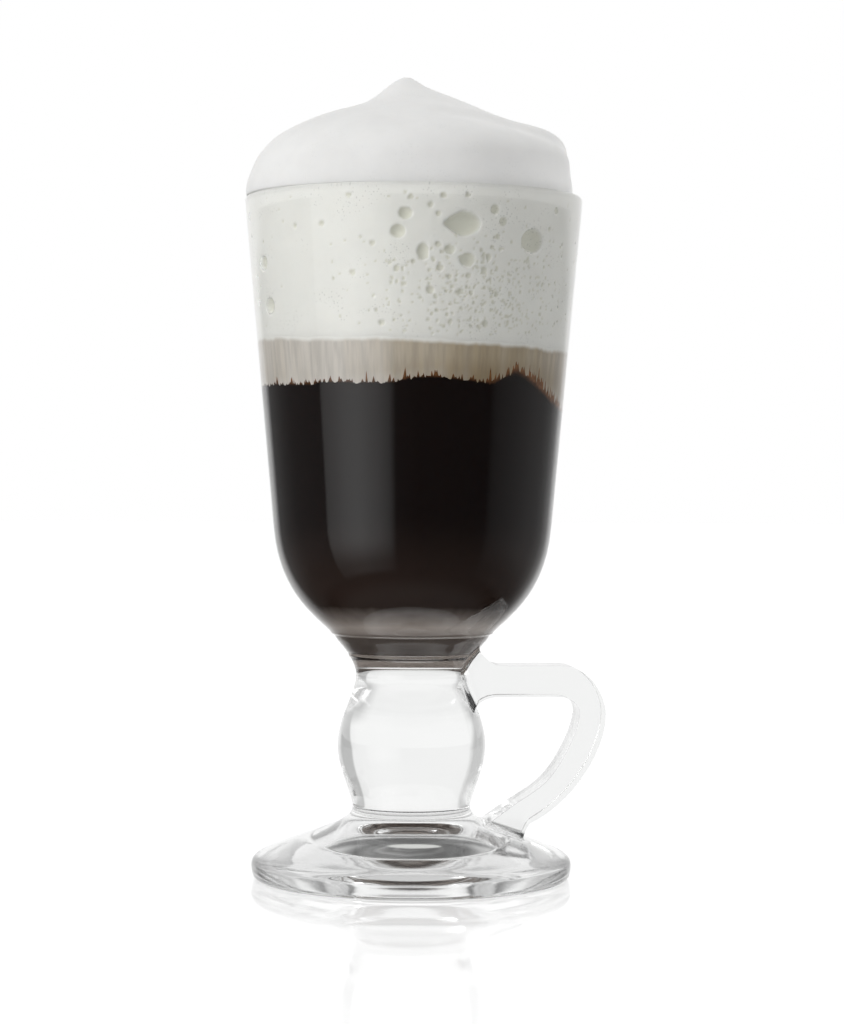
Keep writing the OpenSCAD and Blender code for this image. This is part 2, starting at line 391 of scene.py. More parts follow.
def strap_section(half_w, half, rounding):
    """The strap's rounded oblong cross section: each line's place across the strap and through it."""
    corners = ((1, 1), (-1, 1), (-1, -1), (1, -1))
    corner_steps = 8
    flat_steps = 5
    lines = []
    for k, (sy, su) in enumerate(corners):
        for j in range(corner_steps + 1):
            a = math.radians(90 * (k + j / corner_steps))
            y = (half_w - rounding) * sy + rounding * math.cos(a)
            u = (half - rounding) * su + rounding * math.sin(a)
            lines.append((y, u))
        ny, nu = corners[(k + 1) % 4]
        a = math.radians(90 * (k + 1))
        for j in range(1, flat_steps):
            t = j / flat_steps
            y = (half_w - rounding) * (sy + (ny - sy) * t) + rounding * math.cos(a)
            u = (half - rounding) * (su + (nu - su) * t) + rounding * math.sin(a)
            lines.append((y, u))
    return lines


def body_point(outline, theta, distance):
    """Points and normals of the outside, by angle round the axis and distance along the outline."""
    r, z, nr, nz = np.moveaxis(outline.at(np.asarray(distance)), -1, 0)
    c = np.cos(theta)
    s = np.sin(theta)
    return np.stack([r * c, r * s, z], axis=-1), np.stack([nr * c, nr * s, nz], axis=-1)


def root_crossing(line, outline):
    """Distance along a strap line where it comes out of the body."""
    run = along(line)
    out = np.hypot(line[:, 0], line[:, 1]) - outline.outer_r(line[:, 2])
    first = int(np.argmax(out > 0))
    t = out[first - 1] / (out[first - 1] - out[first])
    return run[first - 1] + t * (run[first] - run[first - 1])


def strap_end(lines, outline, half_w, flank, crotch):
    """For one end of the strap, the fillet between the body and the plain strap.

    flank widens the fillet beside the strap's flat faces, crotch in the middle of its upper side.
    Returns where each line comes out of the body, the fillet's foot as angles and distances along
    the outline, and the points and distances along each line where the plain strap goes on."""
    count = lines.shape[1]
    crossing = [root_crossing(lines[:, j], outline) for j in range(count)]
    hits = np.stack([at_distance(lines[:, j], [crossing[j]])[0] for j in range(count)])
    side = np.clip(np.abs(hits[:, 1]) / half_w, 0, 1)
    above = np.clip((hits[:, 2] - hits[:, 2].mean()) / np.ptp(hits[:, 2]) * 2, 0, 1)
    least = 0.45
    reach = least + flank * side**4 + crotch * above**2 * (1 - side**2)
    starts = [crossing[j] + reach[j] for j in range(count)]
    on_strap = np.stack([at_distance(lines[:, j], [starts[j]])[0] for j in range(count)])
    s = outline.nearest(np.hypot(hits[:, 0], hits[:, 1]), hits[:, 2])
    normal = body_point(outline, np.arctan2(hits[:, 1], hits[:, 0]), s)[1]
    tangent = np.roll(hits, -1, axis=0) - np.roll(hits, 1, axis=0)
    away = np.cross(tangent, normal)
    away /= np.linalg.norm(away, axis=1)[:, None]
    flip = np.sign(np.sum(away * (hits - hits.mean(axis=0)), axis=1).sum())
    foot_share = 0.8
    feet = hits + away * flip * (reach * foot_share)[:, None]
    theta = np.arctan2(feet[:, 1], feet[:, 0])
    s = outline.nearest(np.hypot(feet[:, 0], feet[:, 1]), feet[:, 2])
    smoothings = 3
    for _ in range(smoothings):
        theta = (np.roll(theta, 1) + 2 * theta + np.roll(theta, -1)) / 4
        s = (np.roll(s, 1) + 2 * s + np.roll(s, -1)) / 4
    return hits, theta, s, on_strap, starts


def fillet_rings(feet, hits, on_strap, steps=12):
    """Rings of the fillet from its foot on the body to the strap, without either end."""
    rings = []
    for i in range(1, steps):
        t = i / steps
        rings.append((1 - t) ** 2 * feet + 2 * t * (1 - t) * hits + t * t * on_strap)
    return rings


# Mesh building


class Pool:
    """Points with their normals, shared by the glass pieces, and the faces of each piece."""

    def __init__(self):
        self.points = []
        self.normals = []
        self.faces = {}

    def add(self, points, normals):
        """Adds points and returns their numbers."""
        first = len(self.points)
        self.points.extend(np.asarray(points, float).reshape(-1, 3))
        self.normals.extend(np.asarray(normals, float).reshape(-1, 3))
        return list(range(first, len(self.points)))

    def face(self, piece, corners, joint=0):
        """Adds a face to a piece; joint is 1 where the piece is fused to another."""
        self.faces.setdefault(piece, []).append((tuple(corners), joint))

    def piece(self, name):
        """A piece's own points, faces, normals and material numbers."""
        used = sorted({c for corners, _ in self.faces[name] for c in corners})
        place = {c: i for i, c in enumerate(used)}
        points = np.array([self.points[c] for c in used])
        normals = np.array([self.normals[c] for c in used])
        faces = [[place[c] for c in corners] for corners, _ in self.faces[name]]
        return points, faces, normals, [joint for _, joint in self.faces[name]]


def make_piece(name, points, faces, materials, slots=None, normals=None, node=None):
    """A mesh object in the row frame that rides on the body and stands for its CAD node."""
    mesh = bpy.data.meshes.new(name)
    mesh.from_pydata((np.asarray(points) * MM).tolist(), [], [list(map(int, f)) for f in faces])
    mesh.polygons.foreach_set("use_smooth", [True] * len(mesh.polygons))
    for material in materials:
        mesh.materials.append(material)
    if slots is not None:
        mesh.polygons.foreach_set("material_index", slots)
    if normals is not None:
        mesh.normals_split_custom_set_from_vertices(np.asarray(normals).tolist())
    mesh.update()
    piece = bpy.data.objects.new(name, mesh)
    bpy.context.scene.collection.objects.link(piece)
    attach(piece, BODY)
    if node:
        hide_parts(node)
    return piece


COLUMNS = 192


def body_grid(pool, outline, windows):
    """The turned glass: foot, stem and bowl, with the two root outlines of the handle let into it.

    windows holds each root's angles and distances along the outline. Returns the pool numbers of
    each root's outline and of the patch faces inside it."""
    rows = outline.rows(0, outline.neck)
    first_stem = len(rows) - 1
    rows += outline.rows(outline.neck, outline.seam)[1:]
    first_bowl = len(rows) - 1
    rows += outline.rows(outline.seam, float(outline.run[-1]))[1:]
    rows = np.array(rows)
    last = len(rows) - 1
    theta = np.arange(COLUMNS) * FULL_TURN / COLUMNS
    grid = {}
    for i, distance in enumerate(rows):
        if i in (0, last):
            z = float(outline.at(distance)[1])
            way = -1 if i == 0 else 1
            grid[i] = pool.add([[0, 0, z]], [[0, 0, way]]) * COLUMNS
        else:
            grid[i] = pool.add(*body_point(outline, theta, np.full(COLUMNS, distance)))

    def piece_of(distance):
        """The glass piece that a distance along the outline belongs to."""
        if distance < outline.neck:
            return "foot"
        return "stem" if distance < outline.seam else "bowl"

    taken = set()
    roots = []
    margin = 1.2
    side_margin = 0.08
    for angles, distances in windows:
        low = int(np.searchsorted(rows, distances.min() - margin)) - 1
        high = int(np.searchsorted(rows, distances.max() + margin))
        half = int(math.ceil((np.abs(angles).max() + side_margin) / (FULL_TURN / COLUMNS)))
        window = (low, high, half)
        roots.append(let_in_root(pool, outline, rows, grid, window, angles, distances, piece_of))
        for i in range(low, high):
            for k in range(-half, half):
                taken.add((i, k % COLUMNS))
    for i in range(last):
        piece = piece_of((rows[i] + rows[i + 1]) / 2)
        for k in range(COLUMNS):
            if (i, k) in taken:
                continue
            k1 = (k + 1) % COLUMNS
            corners = [grid[i][k], grid[i][k1], grid[i + 1][k1], grid[i + 1][k]]
            pool.face(piece, list(dict.fromkeys(corners)))
    for i, below, above in ((first_stem, "foot", "stem"), (first_bowl, "stem", "bowl")):
        z = float(outline.at(rows[i])[1])
        centre = pool.add([[0, 0, z]], [[0, 0, 1]])[0]
        for k in range(COLUMNS):
            k1 = (k + 1) % COLUMNS
            pool.face(below, [centre, grid[i][k], grid[i][k1]], 1)
            pool.face(above, [centre, grid[i][k1], grid[i][k]], 1)
    return roots


def let_in_root(pool, outline, rows, grid, window, angles, distances, piece_of):
    """Triangulates one window of the turned surface so that a root's outline lies on its edges."""
    low, high, half = window
    radius = float(outline.at(distances.mean())[0])
    distances = distances.copy()
    angles = angles.copy()
    crossed = rows[low] < outline.neck < rows[high] and distances.min() < outline.neck < distances.max()
    on_neck = []
    if crossed:
        for side in (angles > 0, angles <= 0):
            gap = np.where(side, np.abs(distances - outline.neck), 1e9)
            j = int(np.argmin(gap))
            distances[j] = outline.neck
            on_neck.append(j)
    ring_xy = np.stack([angles * radius, distances], axis=1)
    ring_points, ring_normals = body_point(outline, angles, distances)
    ring = pool.add(ring_points, ring_normals)
    coords = [tuple(p) for p in ring_xy]
    numbers = list(ring)
    count = len(ring)
    edges = [(j, (j + 1) % count) for j in range(count)]
    column = FULL_TURN / COLUMNS
    neck_row = []
    least_gap = 0.24
    least_neck_gap = 0.12
    for i in range(low, high + 1):
        for k in range(-half, half + 1):
            p = np.array([k * column * radius, rows[i]])
            border = i in (low, high) or abs(k) == half
            on_row = crossed and abs(rows[i] - outline.neck) < 1e-9
            limit = least_neck_gap if on_row else least_gap
            if not border and np.min(np.hypot(*(ring_xy - p).T)) < limit:
                continue
            if on_row:
                neck_row.append(len(coords))
            coords.append(tuple(p))
            numbers.append(grid[i][k % COLUMNS])
    if crossed:
        neck_row += on_neck
        neck_row.sort(key=lambda n: coords[n][0])
        edges += list(zip(neck_row[:-1], neck_row[1:]))
    result = delaunay_2d_cdt(coords, edges, [], 0, 1e-7, True)
    out_points, _, out_faces, origins = result[:4]
    mapped = []
    for p, origin in zip(out_points, origins):
        if origin:
            mapped.append(numbers[origin[0]])
        else:
            new_point = body_point(outline, np.array([p[0] / radius]), np.array([p[1]]))
            mapped.append(pool.add(*new_point)[0])
    patch = []
    for f in out_faces:
        centre = np.mean([[out_points[c][0], out_points[c][1]] for c in f], axis=0)
        a, b, c = (np.array(out_points[k][:]) for k in f)
        if np.cross(b - a, c - a) < 0:
            f = f[::-1]
        corners = [mapped[c] for c in f]
        inside = in_polygon(centre, ring_xy)
        pool.face(piece_of(centre[1]), corners, 1 if inside else 0)
        if inside:
            patch.append(corners)
    return ring, patch


def in_polygon(p, polygon):
    """True if a point lies inside a closed polygon."""
    x, y = p
    x0, y0 = polygon[:, 0], polygon[:, 1]
    x1, y1 = np.roll(x0, -1), np.roll(y0, -1)
    spans = (y0 > y) != (y1 > y)
    cut = x0[spans] + (y - y0[spans]) / (y1[spans] - y0[spans]) * (x1[spans] - x0[spans])
    return bool(np.count_nonzero(cut > x) % 2)


def handle_rings(lines, feet, near, far):
    """The handle's rings from one root's foot to the other's, with fillets at both ends."""
    count = lines.shape[1]
    runs = [along(lines[:, j]) for j in range(count)]
    backs = [runs[j][-1] - runs[j][::-1] for j in range(count)]
    starts, ends = near[4], far[4]
    first = 1 + max(int(np.searchsorted(runs[j], starts[j])) for j in range(count))
    last = lines.shape[0] - 2 - max(int(np.searchsorted(backs[j], ends[j])) for j in range(count))
    bridge = 5
    head = []
    tail = []
    for j in range(count):
        head.append(at_distance(lines[:, j], np.linspace(starts[j], runs[j][first], bridge + 2)[1:-1]))
        end = runs[j][-1] - ends[j]
        tail.append(at_distance(lines[:, j], np.linspace(runs[j][last], end, bridge + 2)[1:-1]))
    fillets = []
    for foot, (hits, _, _, on_strap, _) in zip(feet, (near, far)):
        fillets.append(fillet_rings(foot, hits, on_strap) + [on_strap])
    rings = [feet[0], *fillets[0]]
    rings += [np.stack([head[j][i] for j in range(count)]) for i in range(bridge)]
    rings += [lines[i] for i in range(first, last + 1)]
    rings += [np.stack([tail[j][i] for j in range(count)]) for i in range(bridge)]
    rings += [*fillets[1][::-1], feet[1]]
    return np.stack(rings)


def build_glass(glass):
    """The pool of the fused glass: four pieces that share their edges."""
    outline = Outline(glass)
    lines, half_w = strap_lines(glass)
    near = strap_end(lines, outline, half_w[0], 2.2, 0.4)
    far = strap_end(lines[::-1], outline, half_w[-1], 1.15, 2.8)
    pool = Pool()
    roots = body_grid(pool, outline, [(near[1], near[2]), (far[1], far[2])])
    feet = [np.array([pool.points[c] for c in ring]) for ring, _ in roots]
    solid = handle_rings(lines, feet, near, far)
    count = lines.shape[1]
    normals = grid_normals(solid)
    middle = len(solid) // 2
    outward = solid[middle] - solid[middle].mean(axis=0)
    if np.sum(normals[middle] * outward) < 0:
        normals = -normals
    turn = np.cross(solid[middle + 1, 0] - solid[middle, 0], solid[middle, 1] - solid[middle, 0])
    forward = np.dot(turn, normals[middle, 0]) < 0
    numbers = [roots[0][0]]
    numbers += [pool.add(solid[i], normals[i]) for i in range(1, len(solid) - 1)]
    numbers.append(roots[1][0])
    for i in range(len(numbers) - 1):
        for j in range(count):
            k = (j + 1) % count
            corners = [numbers[i][j], numbers[i][k], numbers[i + 1][k], numbers[i + 1][j]]
            pool.face("handle", corners if forward else corners[::-1])
    for _, patch in roots:
        for corners in patch:
            pool.face("handle", corners[::-1], 1)
    return pool


# Shader nodes


class Tree:
    """A short way to build a material's or the world's node tree."""

    def __init__(self, owner):
        owner.use_nodes = True
        self.tree = owner.node_tree
        self.tree.nodes.clear()

    def node(self, kind, inputs=None, **settings):
        """A new node; each input is linked if its value is a socket, and set otherwise."""
        n = self.tree.nodes.new(kind)
        for key, value in settings.items():
            setattr(n, key, value)
        for key, value in (inputs or {}).items():
            if isinstance(value, bpy.types.NodeSocket):
                self.tree.links.new(value, n.inputs[key])
            else:
                n.inputs[key].default_value = value
        return n

    def math(self, operation, *values, clamp=False):
        """One sum on numbers."""
        inputs = {i: v for i, v in enumerate(values)}
        return self.node("ShaderNodeMath", inputs, operation=operation, use_clamp=clamp).outputs[0]

    def vector(self, operation, *values):
        """One sum on vectors; returns all of the node's outputs."""
        inputs = {i: v for i, v in enumerate(values)}
        return self.node("ShaderNodeVectorMath", inputs, operation=operation).outputs

    def apart(self, vector):
        """The x, y and z of a vector."""
        return self.node("ShaderNodeSeparateXYZ", {0: vector}).outputs

    def noise(self, vector, scale, detail, roughness=0.5):
        """Cloudy noise through space, from 0 to 1."""
        inputs = {"Vector": vector, "Scale": scale, "Detail": detail, "Roughness": roughness}
        return self.node("ShaderNodeTexNoise", inputs).outputs["Fac"]

    def attribute(self, name):
        """A value that a piece's points carry."""
        return self.node("ShaderNodeAttribute", attribute_name=name).outputs["Fac"]

    def swing(self, value, middle, amount):
        """A value's distance from its middle, times an amount."""
        return self.math("MULTIPLY", self.math("SUBTRACT", value, middle), amount)

    def remap(self, value, low, high, to_low=0.0, to_high=1.0):
        """to_low below low and to_high above high, smooth between."""
        inputs = {"Value": value, "From Min": low, "From Max": high, "To Min": to_low, "To Max": to_high}
        return self.node("ShaderNodeMapRange", inputs, interpolation_type="SMOOTHSTEP").outputs["Result"]

    def mix(self, factor, a, b, blend="MIX"):
        """Two colours mixed by a factor: a at 0 and b at 1."""
        n = self.node("ShaderNodeMix", data_type="RGBA", blend_type=blend)
        for key, value in ((0, factor), (6, a), (7, b)):
            if isinstance(value, bpy.types.NodeSocket):
                self.tree.links.new(value, n.inputs[key])
            elif key:
                n.inputs[key].default_value = (*value[:3], 1)
            else:
                n.inputs[key].default_value = value
        return n.outputs[2]

    def tinted(self, colour, by):
        """A colour multiplied by another."""
        return self.mix(1.0, colour, by, "MULTIPLY")

    def grey(self, value):
        """A grey of a brightness that comes from a socket."""
        return self.node("ShaderNodeCombineColor", {0: value, 1: value, 2: value}).outputs[0]

    def finish(self, shader):
        """Gives the material its surface."""
        self.node("ShaderNodeOutputMaterial", {"Surface": shader.outputs[0]})

    def ramp(self, factor, stops):
        """Greys along a factor; each stop is a place and a brightness."""
        n = self.node("ShaderNodeValToRGB", {"Fac": factor})
        n.color_ramp.interpolation = "LINEAR"
        elements = n.color_ramp.elements
        while len(elements) > 1:
            elements.remove(elements[0])
        elements[0].position = stops[0][0]
        elements[0].color = (*[stops[0][1]] * 3, 1)
        for place, value in stops[1:]:
            elements.new(place).color = (*[value] * 3, 1)
        return n.outputs["Color"]


def clear_glass(name, colour, lets_in=None, roughness=0.0):
    """Plain soda glass with its faint green grey tint and the slightest fire-polished waviness.

    lets_in is the share of the lamps' light that each surface lets through to what the glass holds."""
    material = bpy.data.materials.new(name)
    t = Tree(material)
    place = t.node("ShaderNodeTexCoord").outputs["Object"]
    waves = t.noise(place, 55.0, 1.0, 0.4)
    bump = t.node("ShaderNodeBump", {"Height": waves, "Strength": 0.02, "Distance": 0.002})
    shader = t.node(
        "ShaderNodeBsdfPrincipled",
        {
            "Base Color": (*colour, 1),
            "Roughness": roughness,
            "IOR": 1.52,
            "Transmission Weight": 1.0,
            "Normal": bump.outputs["Normal"],
        },
    )
    if lets_in:
        open_way = t.node("ShaderNodeBsdfTransparent", {"Color": (lets_in, lets_in, lets_in, 1)})
        shadow = t.node("ShaderNodeLightPath").outputs["Is Shadow Ray"]
        shader = t.node("ShaderNodeMixShader", {0: shadow, 1: shader.outputs[0], 2: open_way.outputs[0]})
    t.finish(shader)
    return material


def fused_joint():
    """Where two glass pieces are fused there is no surface to see, so these faces are clear."""
    material = bpy.data.materials.new("fused_joint")
    t = Tree(material)
    t.finish(t.node("ShaderNodeBsdfTransparent"))
    return material


# The drink's own lines: heights at angles round the axis, in degrees from the handle, -90 in front

COFFEE_LINE = (
    (-180, 108.3), (-158, 108.3), (-136, 108.0), (-132, 108.6), (-112, 108.3), (-102, 108.4),
    (-98, 109.0), (-94, 109.4), (-87, 109.5), (-81, 109.4), (-77, 109.0), (-71, 108.7), (-63, 108.3),
    (-60, 109.0), (-57, 109.9), (-53.5, 110.9), (-49.5, 110.6), (-45.5, 109.7), (-41, 108.7),
    (-36.5, 107.5), (-27.5, 105.3), (-21, 104.3), (-15, 103.6), (-4, 103.4), (10, 104.6), (30, 107.0),
    (55, 108.8), (80, 108.2), (110, 108.9), (140, 108.2), (165, 108.6), (180, 108.3),
)  # fmt: skip
CREAM_LINE = (
    (-180, 119.1), (-143, 118.4), (-95, 117.8), (-67, 117.2), (-48, 116.8), (-20, 116.5), (20, 117.0),
    (70, 117.9), (130, 118.7), (180, 119.1),
)  # fmt: skip
# How strongly the cream is stained round the mug, from 0 to 1
STAIN = (
    (-180, 0.1), (-130, 0.0), (-118, 0.08), (-105, 0.36), (-95, 0.62), (-83, 0.76), (-67, 0.95),
    (-49, 0.85), (-27, 0.6), (-10, 0.3), (30, 0.2), (90, 0.5), (140, 0.3), (180, 0.1),
)  # fmt: skip
# Large wisps: angle, height above the coffee's line, half width in degrees, lean from -1 to 1
WISPS = (
    (-112.6, 3.0, 0.5, 0.3), (-103.4, 2.2, 0.9, -0.6), (-97.7, 2.6, 0.7, -0.8), (-91.0, 1.2, 0.7, 0.2),
    (-85.7, 1.5, 0.6, -0.3), (-79.7, 1.3, 0.9, 0.2), (-76.2, 1.7, 0.6, 0), (-64.6, 4.0, 0.8, 0.3),
    (-60.6, 2.1, 0.8, 0.2), (-57.0, 2.0, 0.8, 0.1), (-52.9, 2.4, 1.5, 0.5), (-49.6, 1.6, 0.9, -0.3),
    (-45.3, 3.6, 0.6, 0.2), (-39.4, 4.8, 0.7, 0.3), (-36.0, 2.6, 0.8, 0.2), (-34.2, 2.9, 0.9, 0.2),
    (-31.6, 2.4, 0.8, 0.1), (-29.6, 3.0, 0.9, 0.3), (-25.2, 2.4, 0.9, 0.2), (-120.5, 0.8, 1.2, 0.4),
    (-128.0, 0.9, 1.6, 0.6), (-142.0, 0.8, 1.0, 0.3), (-67.5, 1.0, 0.8, 0.2), (-70.5, 0.9, 0.8, -0.3),
)  # fmt: skip

# Smaller wisps: how many, and the ranges of angle, height, half width and lean that they come from
WISP_GROUPS = (
    (46, (-18, 225), (0.6, 2.8), (0.4, 1.1), (-0.5, 0.7)),
    (70, (-64, -16), (0.5, 2.6), (0.5, 1.2), (-0.8, 0.8)),
    (46, (-152, -64), (0.4, 1.7), (0.4, 0.9), (-0.8, 0.8)),
)


def turned_by(degrees, start=0.0):
    """Turn from a start to angles round the axis, from -180 to 180."""
    return (degrees - start + 180) % 360 - 180


def degrees_of(points):
    """Angles of points round the axis."""
    return np.degrees(np.arctan2(points[:, 1], points[:, 0]))


def line_height(table, degrees):
    """Heights of one of the drink's lines at angles round the axis."""
    places = np.array(table, float)
    return np.interp(turned_by(degrees), places[:, 0], places[:, 1])


def gentle(degrees, seed, waves, amplitude):
    """A periodic ripple round the axis, the same on each run."""
    rng = np.random.default_rng(seed)
    total = np.zeros_like(degrees, float)
    for n in waves:
        strength = rng.normal()
        wave = np.sin(np.radians(degrees) * n + rng.uniform(0, FULL_TURN))
        total += strength * wave / math.sqrt(len(waves))
    return amplitude * total


def cream_top(degrees):
    """Height of the line where cream and foam meet at the wall."""
    return line_height(CREAM_LINE, degrees) + gentle(degrees, 5, (7, 11, 17, 31), 0.18)


def coffee_edge(degrees):
    """Height of the coffee's edge at the wall with its wisps, and of its line without them."""
    base = line_height(COFFEE_LINE, degrees) + gentle(degrees, 3, (29, 37, 53, 71, 97, 131), 0.14)
    rng = np.random.default_rng(11)
    wisps = list(WISPS)
    for count, *ranges in WISP_GROUPS:
        for _ in range(count):
            wisps.append([rng.uniform(*limits) for limits in ranges])
    small_wisps = 330
    for _ in range(small_wisps):
        height = 0.18 + 0.7 * rng.random() ** 2.5
        wisps.append((rng.uniform(-180, 180), height, rng.uniform(0.3, 1.0), rng.uniform(-0.7, 0.7)))
    rise = np.zeros_like(base)
    for where, height, half, lean in wisps:
        gap = turned_by(degrees, where)
        side = half * (1 + 0.8 * np.clip(lean, -0.9, 0.9) * np.sign(gap))
        rise = np.maximum(rise, height * np.clip(1 - np.abs(gap) / side, 0, 1) ** 1.25)
    return base + rise, base


FOAM_COLUMNS = 720
EDGE_COLUMNS = 1440
# Radius inside the drink where a layer's hidden top or bottom flattens
HEART_R = 14.0
# Where the edge turns in from the wall: how far in, and how far below the line
TURNED_IN = ((0.5, 0.3), (1.5, 0.8))


def closed_skin(grid, tip=0.0):
    """Points and faces of rings laid one over another, each end closed into a centre.

    tip is how far the upper centre stands above its ring."""
    rows, columns = grid.shape[:2]
    low = grid[0].mean(axis=0)
    high = grid[-1].mean(axis=0) + np.array([0, 0, tip])
    points = np.concatenate([grid.reshape(-1, 3), [low, high]])
    faces = []
    for i in range(rows - 1):
        for k in range(columns):
            k1 = (k + 1) % columns
            row, row_above = i * columns, (i + 1) * columns
            faces.append((row + k, row + k1, row_above + k1, row_above + k))
    bottom = rows * columns
    top = bottom + 1
    for k in range(columns):
        k1 = (k + 1) % columns
        faces.append((bottom, k1, k))
        faces.append((top, (rows - 1) * columns + k, (rows - 1) * columns + k1))
    return points, faces


def turned_skin(rings):
    """A closed skin of rings round the axis, each with the radii and the heights of its columns."""
    radii = np.stack([r for r, _ in rings])
    heights = np.stack([z for _, z in rings])
    columns = radii.shape[1]
    theta = np.arange(columns) * FULL_TURN / columns
    return closed_skin(np.stack([radii * np.cos(theta), radii * np.sin(theta), heights], axis=2))


def level_ring(radius, height, columns=EDGE_COLUMNS):
    """A ring whose columns share one radius and one height."""
    return np.full(columns, radius), np.full(columns, height)


def column_degrees(count):
    """Angles of a ring's columns."""
    return np.arange(count) * 360 / count


def wall_reach(outline, drink):
    """The drink's side, a little into the glass's inside, as a function of the height."""
    inside = slice(outline.rim, len(outline.points))
    r = outline.points[inside, 0][::-1]
    z = outline.points[inside, 1][::-1]
    into = drink.into_wall / MM

    def radius(height):
        """Radius of the drink's side at a height."""
        return np.interp(height, z, r) + into

    return radius


def build_coffee(outline, drink):
    """The coffee: the bowl's round bottom, the side, and an edge that rises in thin wisps."""
    degrees = column_degrees(EDGE_COLUMNS)
    edge, base = coffee_edge(degrees)
    into = drink.into_wall / MM
    side_z = 96
    margin = 0.4
    heart_r = 15.0
    floor = outline.rows(outline.distance_inside(side_z), float(outline.run[-1]), 5, 4)[::-1]
    bowl = outline.at(np.array(floor))
    rings = [level_ring(r - nr * into, z - nz * into) for r, z, nr, nz in bowl[1:]]
    radius = wall_reach(outline, drink)
    low = np.full(EDGE_COLUMNS, rings[-1][1][0])
    for t in (0.25, 0.5, 0.7, 0.82, 0.9, 0.96, 1.0):
        z = low + (base - margin - low) * t
        rings.append((radius(z), z))
    for t in (0.2, 0.4, 0.6, 0.8, 0.97, 1.0):
        z = base - margin + (edge - base + margin) * t
        rings.append((radius(z), z))
    for inset, drop in TURNED_IN:
        z = base - drop
        rings.append((radius(z) - inset, z))
    rings.append(level_ring(heart_r, base.mean() - 1))
    return turned_skin(rings)


def build_cream(outline, drink):
    """The stained cream between the coffee's edge and the foam."""
    degrees = column_degrees(EDGE_COLUMNS)
    edge, base = coffee_edge(degrees)
    top = cream_top(degrees)
    radius = wall_reach(outline, drink)
    rings = [level_ring(HEART_R, base.mean() - 1)]
    for inset, drop in TURNED_IN[::-1]:
        z = base - drop
        rings.append((radius(z) - inset, z))
    for t in (0, 0.01, 0.1, 0.25, 0.5, 0.65, 0.75, 0.82, 0.88, 0.94, 0.997, 1):
        z = edge + (top - edge) * t
        rings.append((radius(z), z))
    rings.append((radius(top) - 1, top))
    rings.append(level_ring(HEART_R, top.mean()))
    return turned_skin(rings)


# Air bubbles against the wall: angle, height, width, tall, drawn out to one side
BUBBLES = (
    (-78.0, 141.5, 7.7, 5.2, 1), (-49.1, 138.7, 6.0, 5.2, 0.3), (-97.7, 143.5, 2.8, 2.6, 0),
    (-100.3, 139.8, 3.0, 2.9, 0), (-91.6, 135.6, 2.4, 3.5, 0), (-75.8, 134.1, 3.4, 2.9, 0.3),
    (-82.3, 136.1, 2.2, 2.1, 0), (-85.6, 132.3, 1.5, 1.5, 0), (-88.9, 127.7, 1.7, 1.7, 0),
    (-89.1, 145.3, 1.2, 1.2, 0), (-76.4, 147.4, 1.2, 1.1, 0), (-84.8, 147.2, 1.3, 1.2, 0),
    (-66.2, 144.7, 2.0, 2.1, 0), (-62.7, 142.3, 1.7, 1.9, 0), (-69.3, 131.9, 1.4, 1.8, 0),
    (-75.2, 130.8, 1.2, 1.1, 0), (-77.8, 127.4, 1.4, 1.3, 0), (-73.9, 127.2, 1.0, 1.0, 0),
    (-63.9, 127.0, 1.1, 1.0, 0), (-95.8, 146.8, 1.1, 1.1, 0), (-86.5, 143.5, 1.2, 1.1, 0),
    (-86.4, 137.1, 1.3, 1.3, 0), (-82.2, 130.5, 1.1, 1.0, 0), (-64.5, 139.1, 1.1, 1.0, 0),
    (-66.4, 136.8, 1.1, 1.0, 0), (-94.9, 133.5, 1.1, 1.0, 0), (-100.8, 132.1, 1.3, 1.3, 0),
    (-98.3, 129.0, 1.1, 1.0, 0), (-109.2, 137.4, 1.2, 1.1, 0), (-117.3, 147.4, 1.2, 1.1, 0),
)  # fmt: skip


def bubble_list():
    """The large bubbles, and many small ones scattered thickly at the right and thinly elsewhere."""
    rng = np.random.default_rng(21)
    found = list(BUBBLES)
    at_the_right, elsewhere, large_behind = 420, 160, 9
    for _ in range(at_the_right):
        theta = rng.normal(-66, 22)
        z = 118.5 + 22 * rng.beta(1.3, 1.9)
        d = 0.45 + 0.35 * rng.random() ** 2
        found.append((theta, z, d, d, 0))
    for _ in range(elsewhere):
        theta = rng.uniform(-180, 180)
        z = rng.uniform(119, 148)
        d = 0.5 + 0.9 * rng.random() ** 3
        found.append((theta, z, d, d * rng.uniform(0.9, 1.2), 0))
    for _ in range(large_behind):
        d = rng.uniform(2.0, 4.4)
        theta = rng.uniform(5, 215)
        z = rng.uniform(125, 146)
        found.append((theta, z, d, d * rng.uniform(0.8, 1.2), rng.uniform(0, 0.6)))
    return found


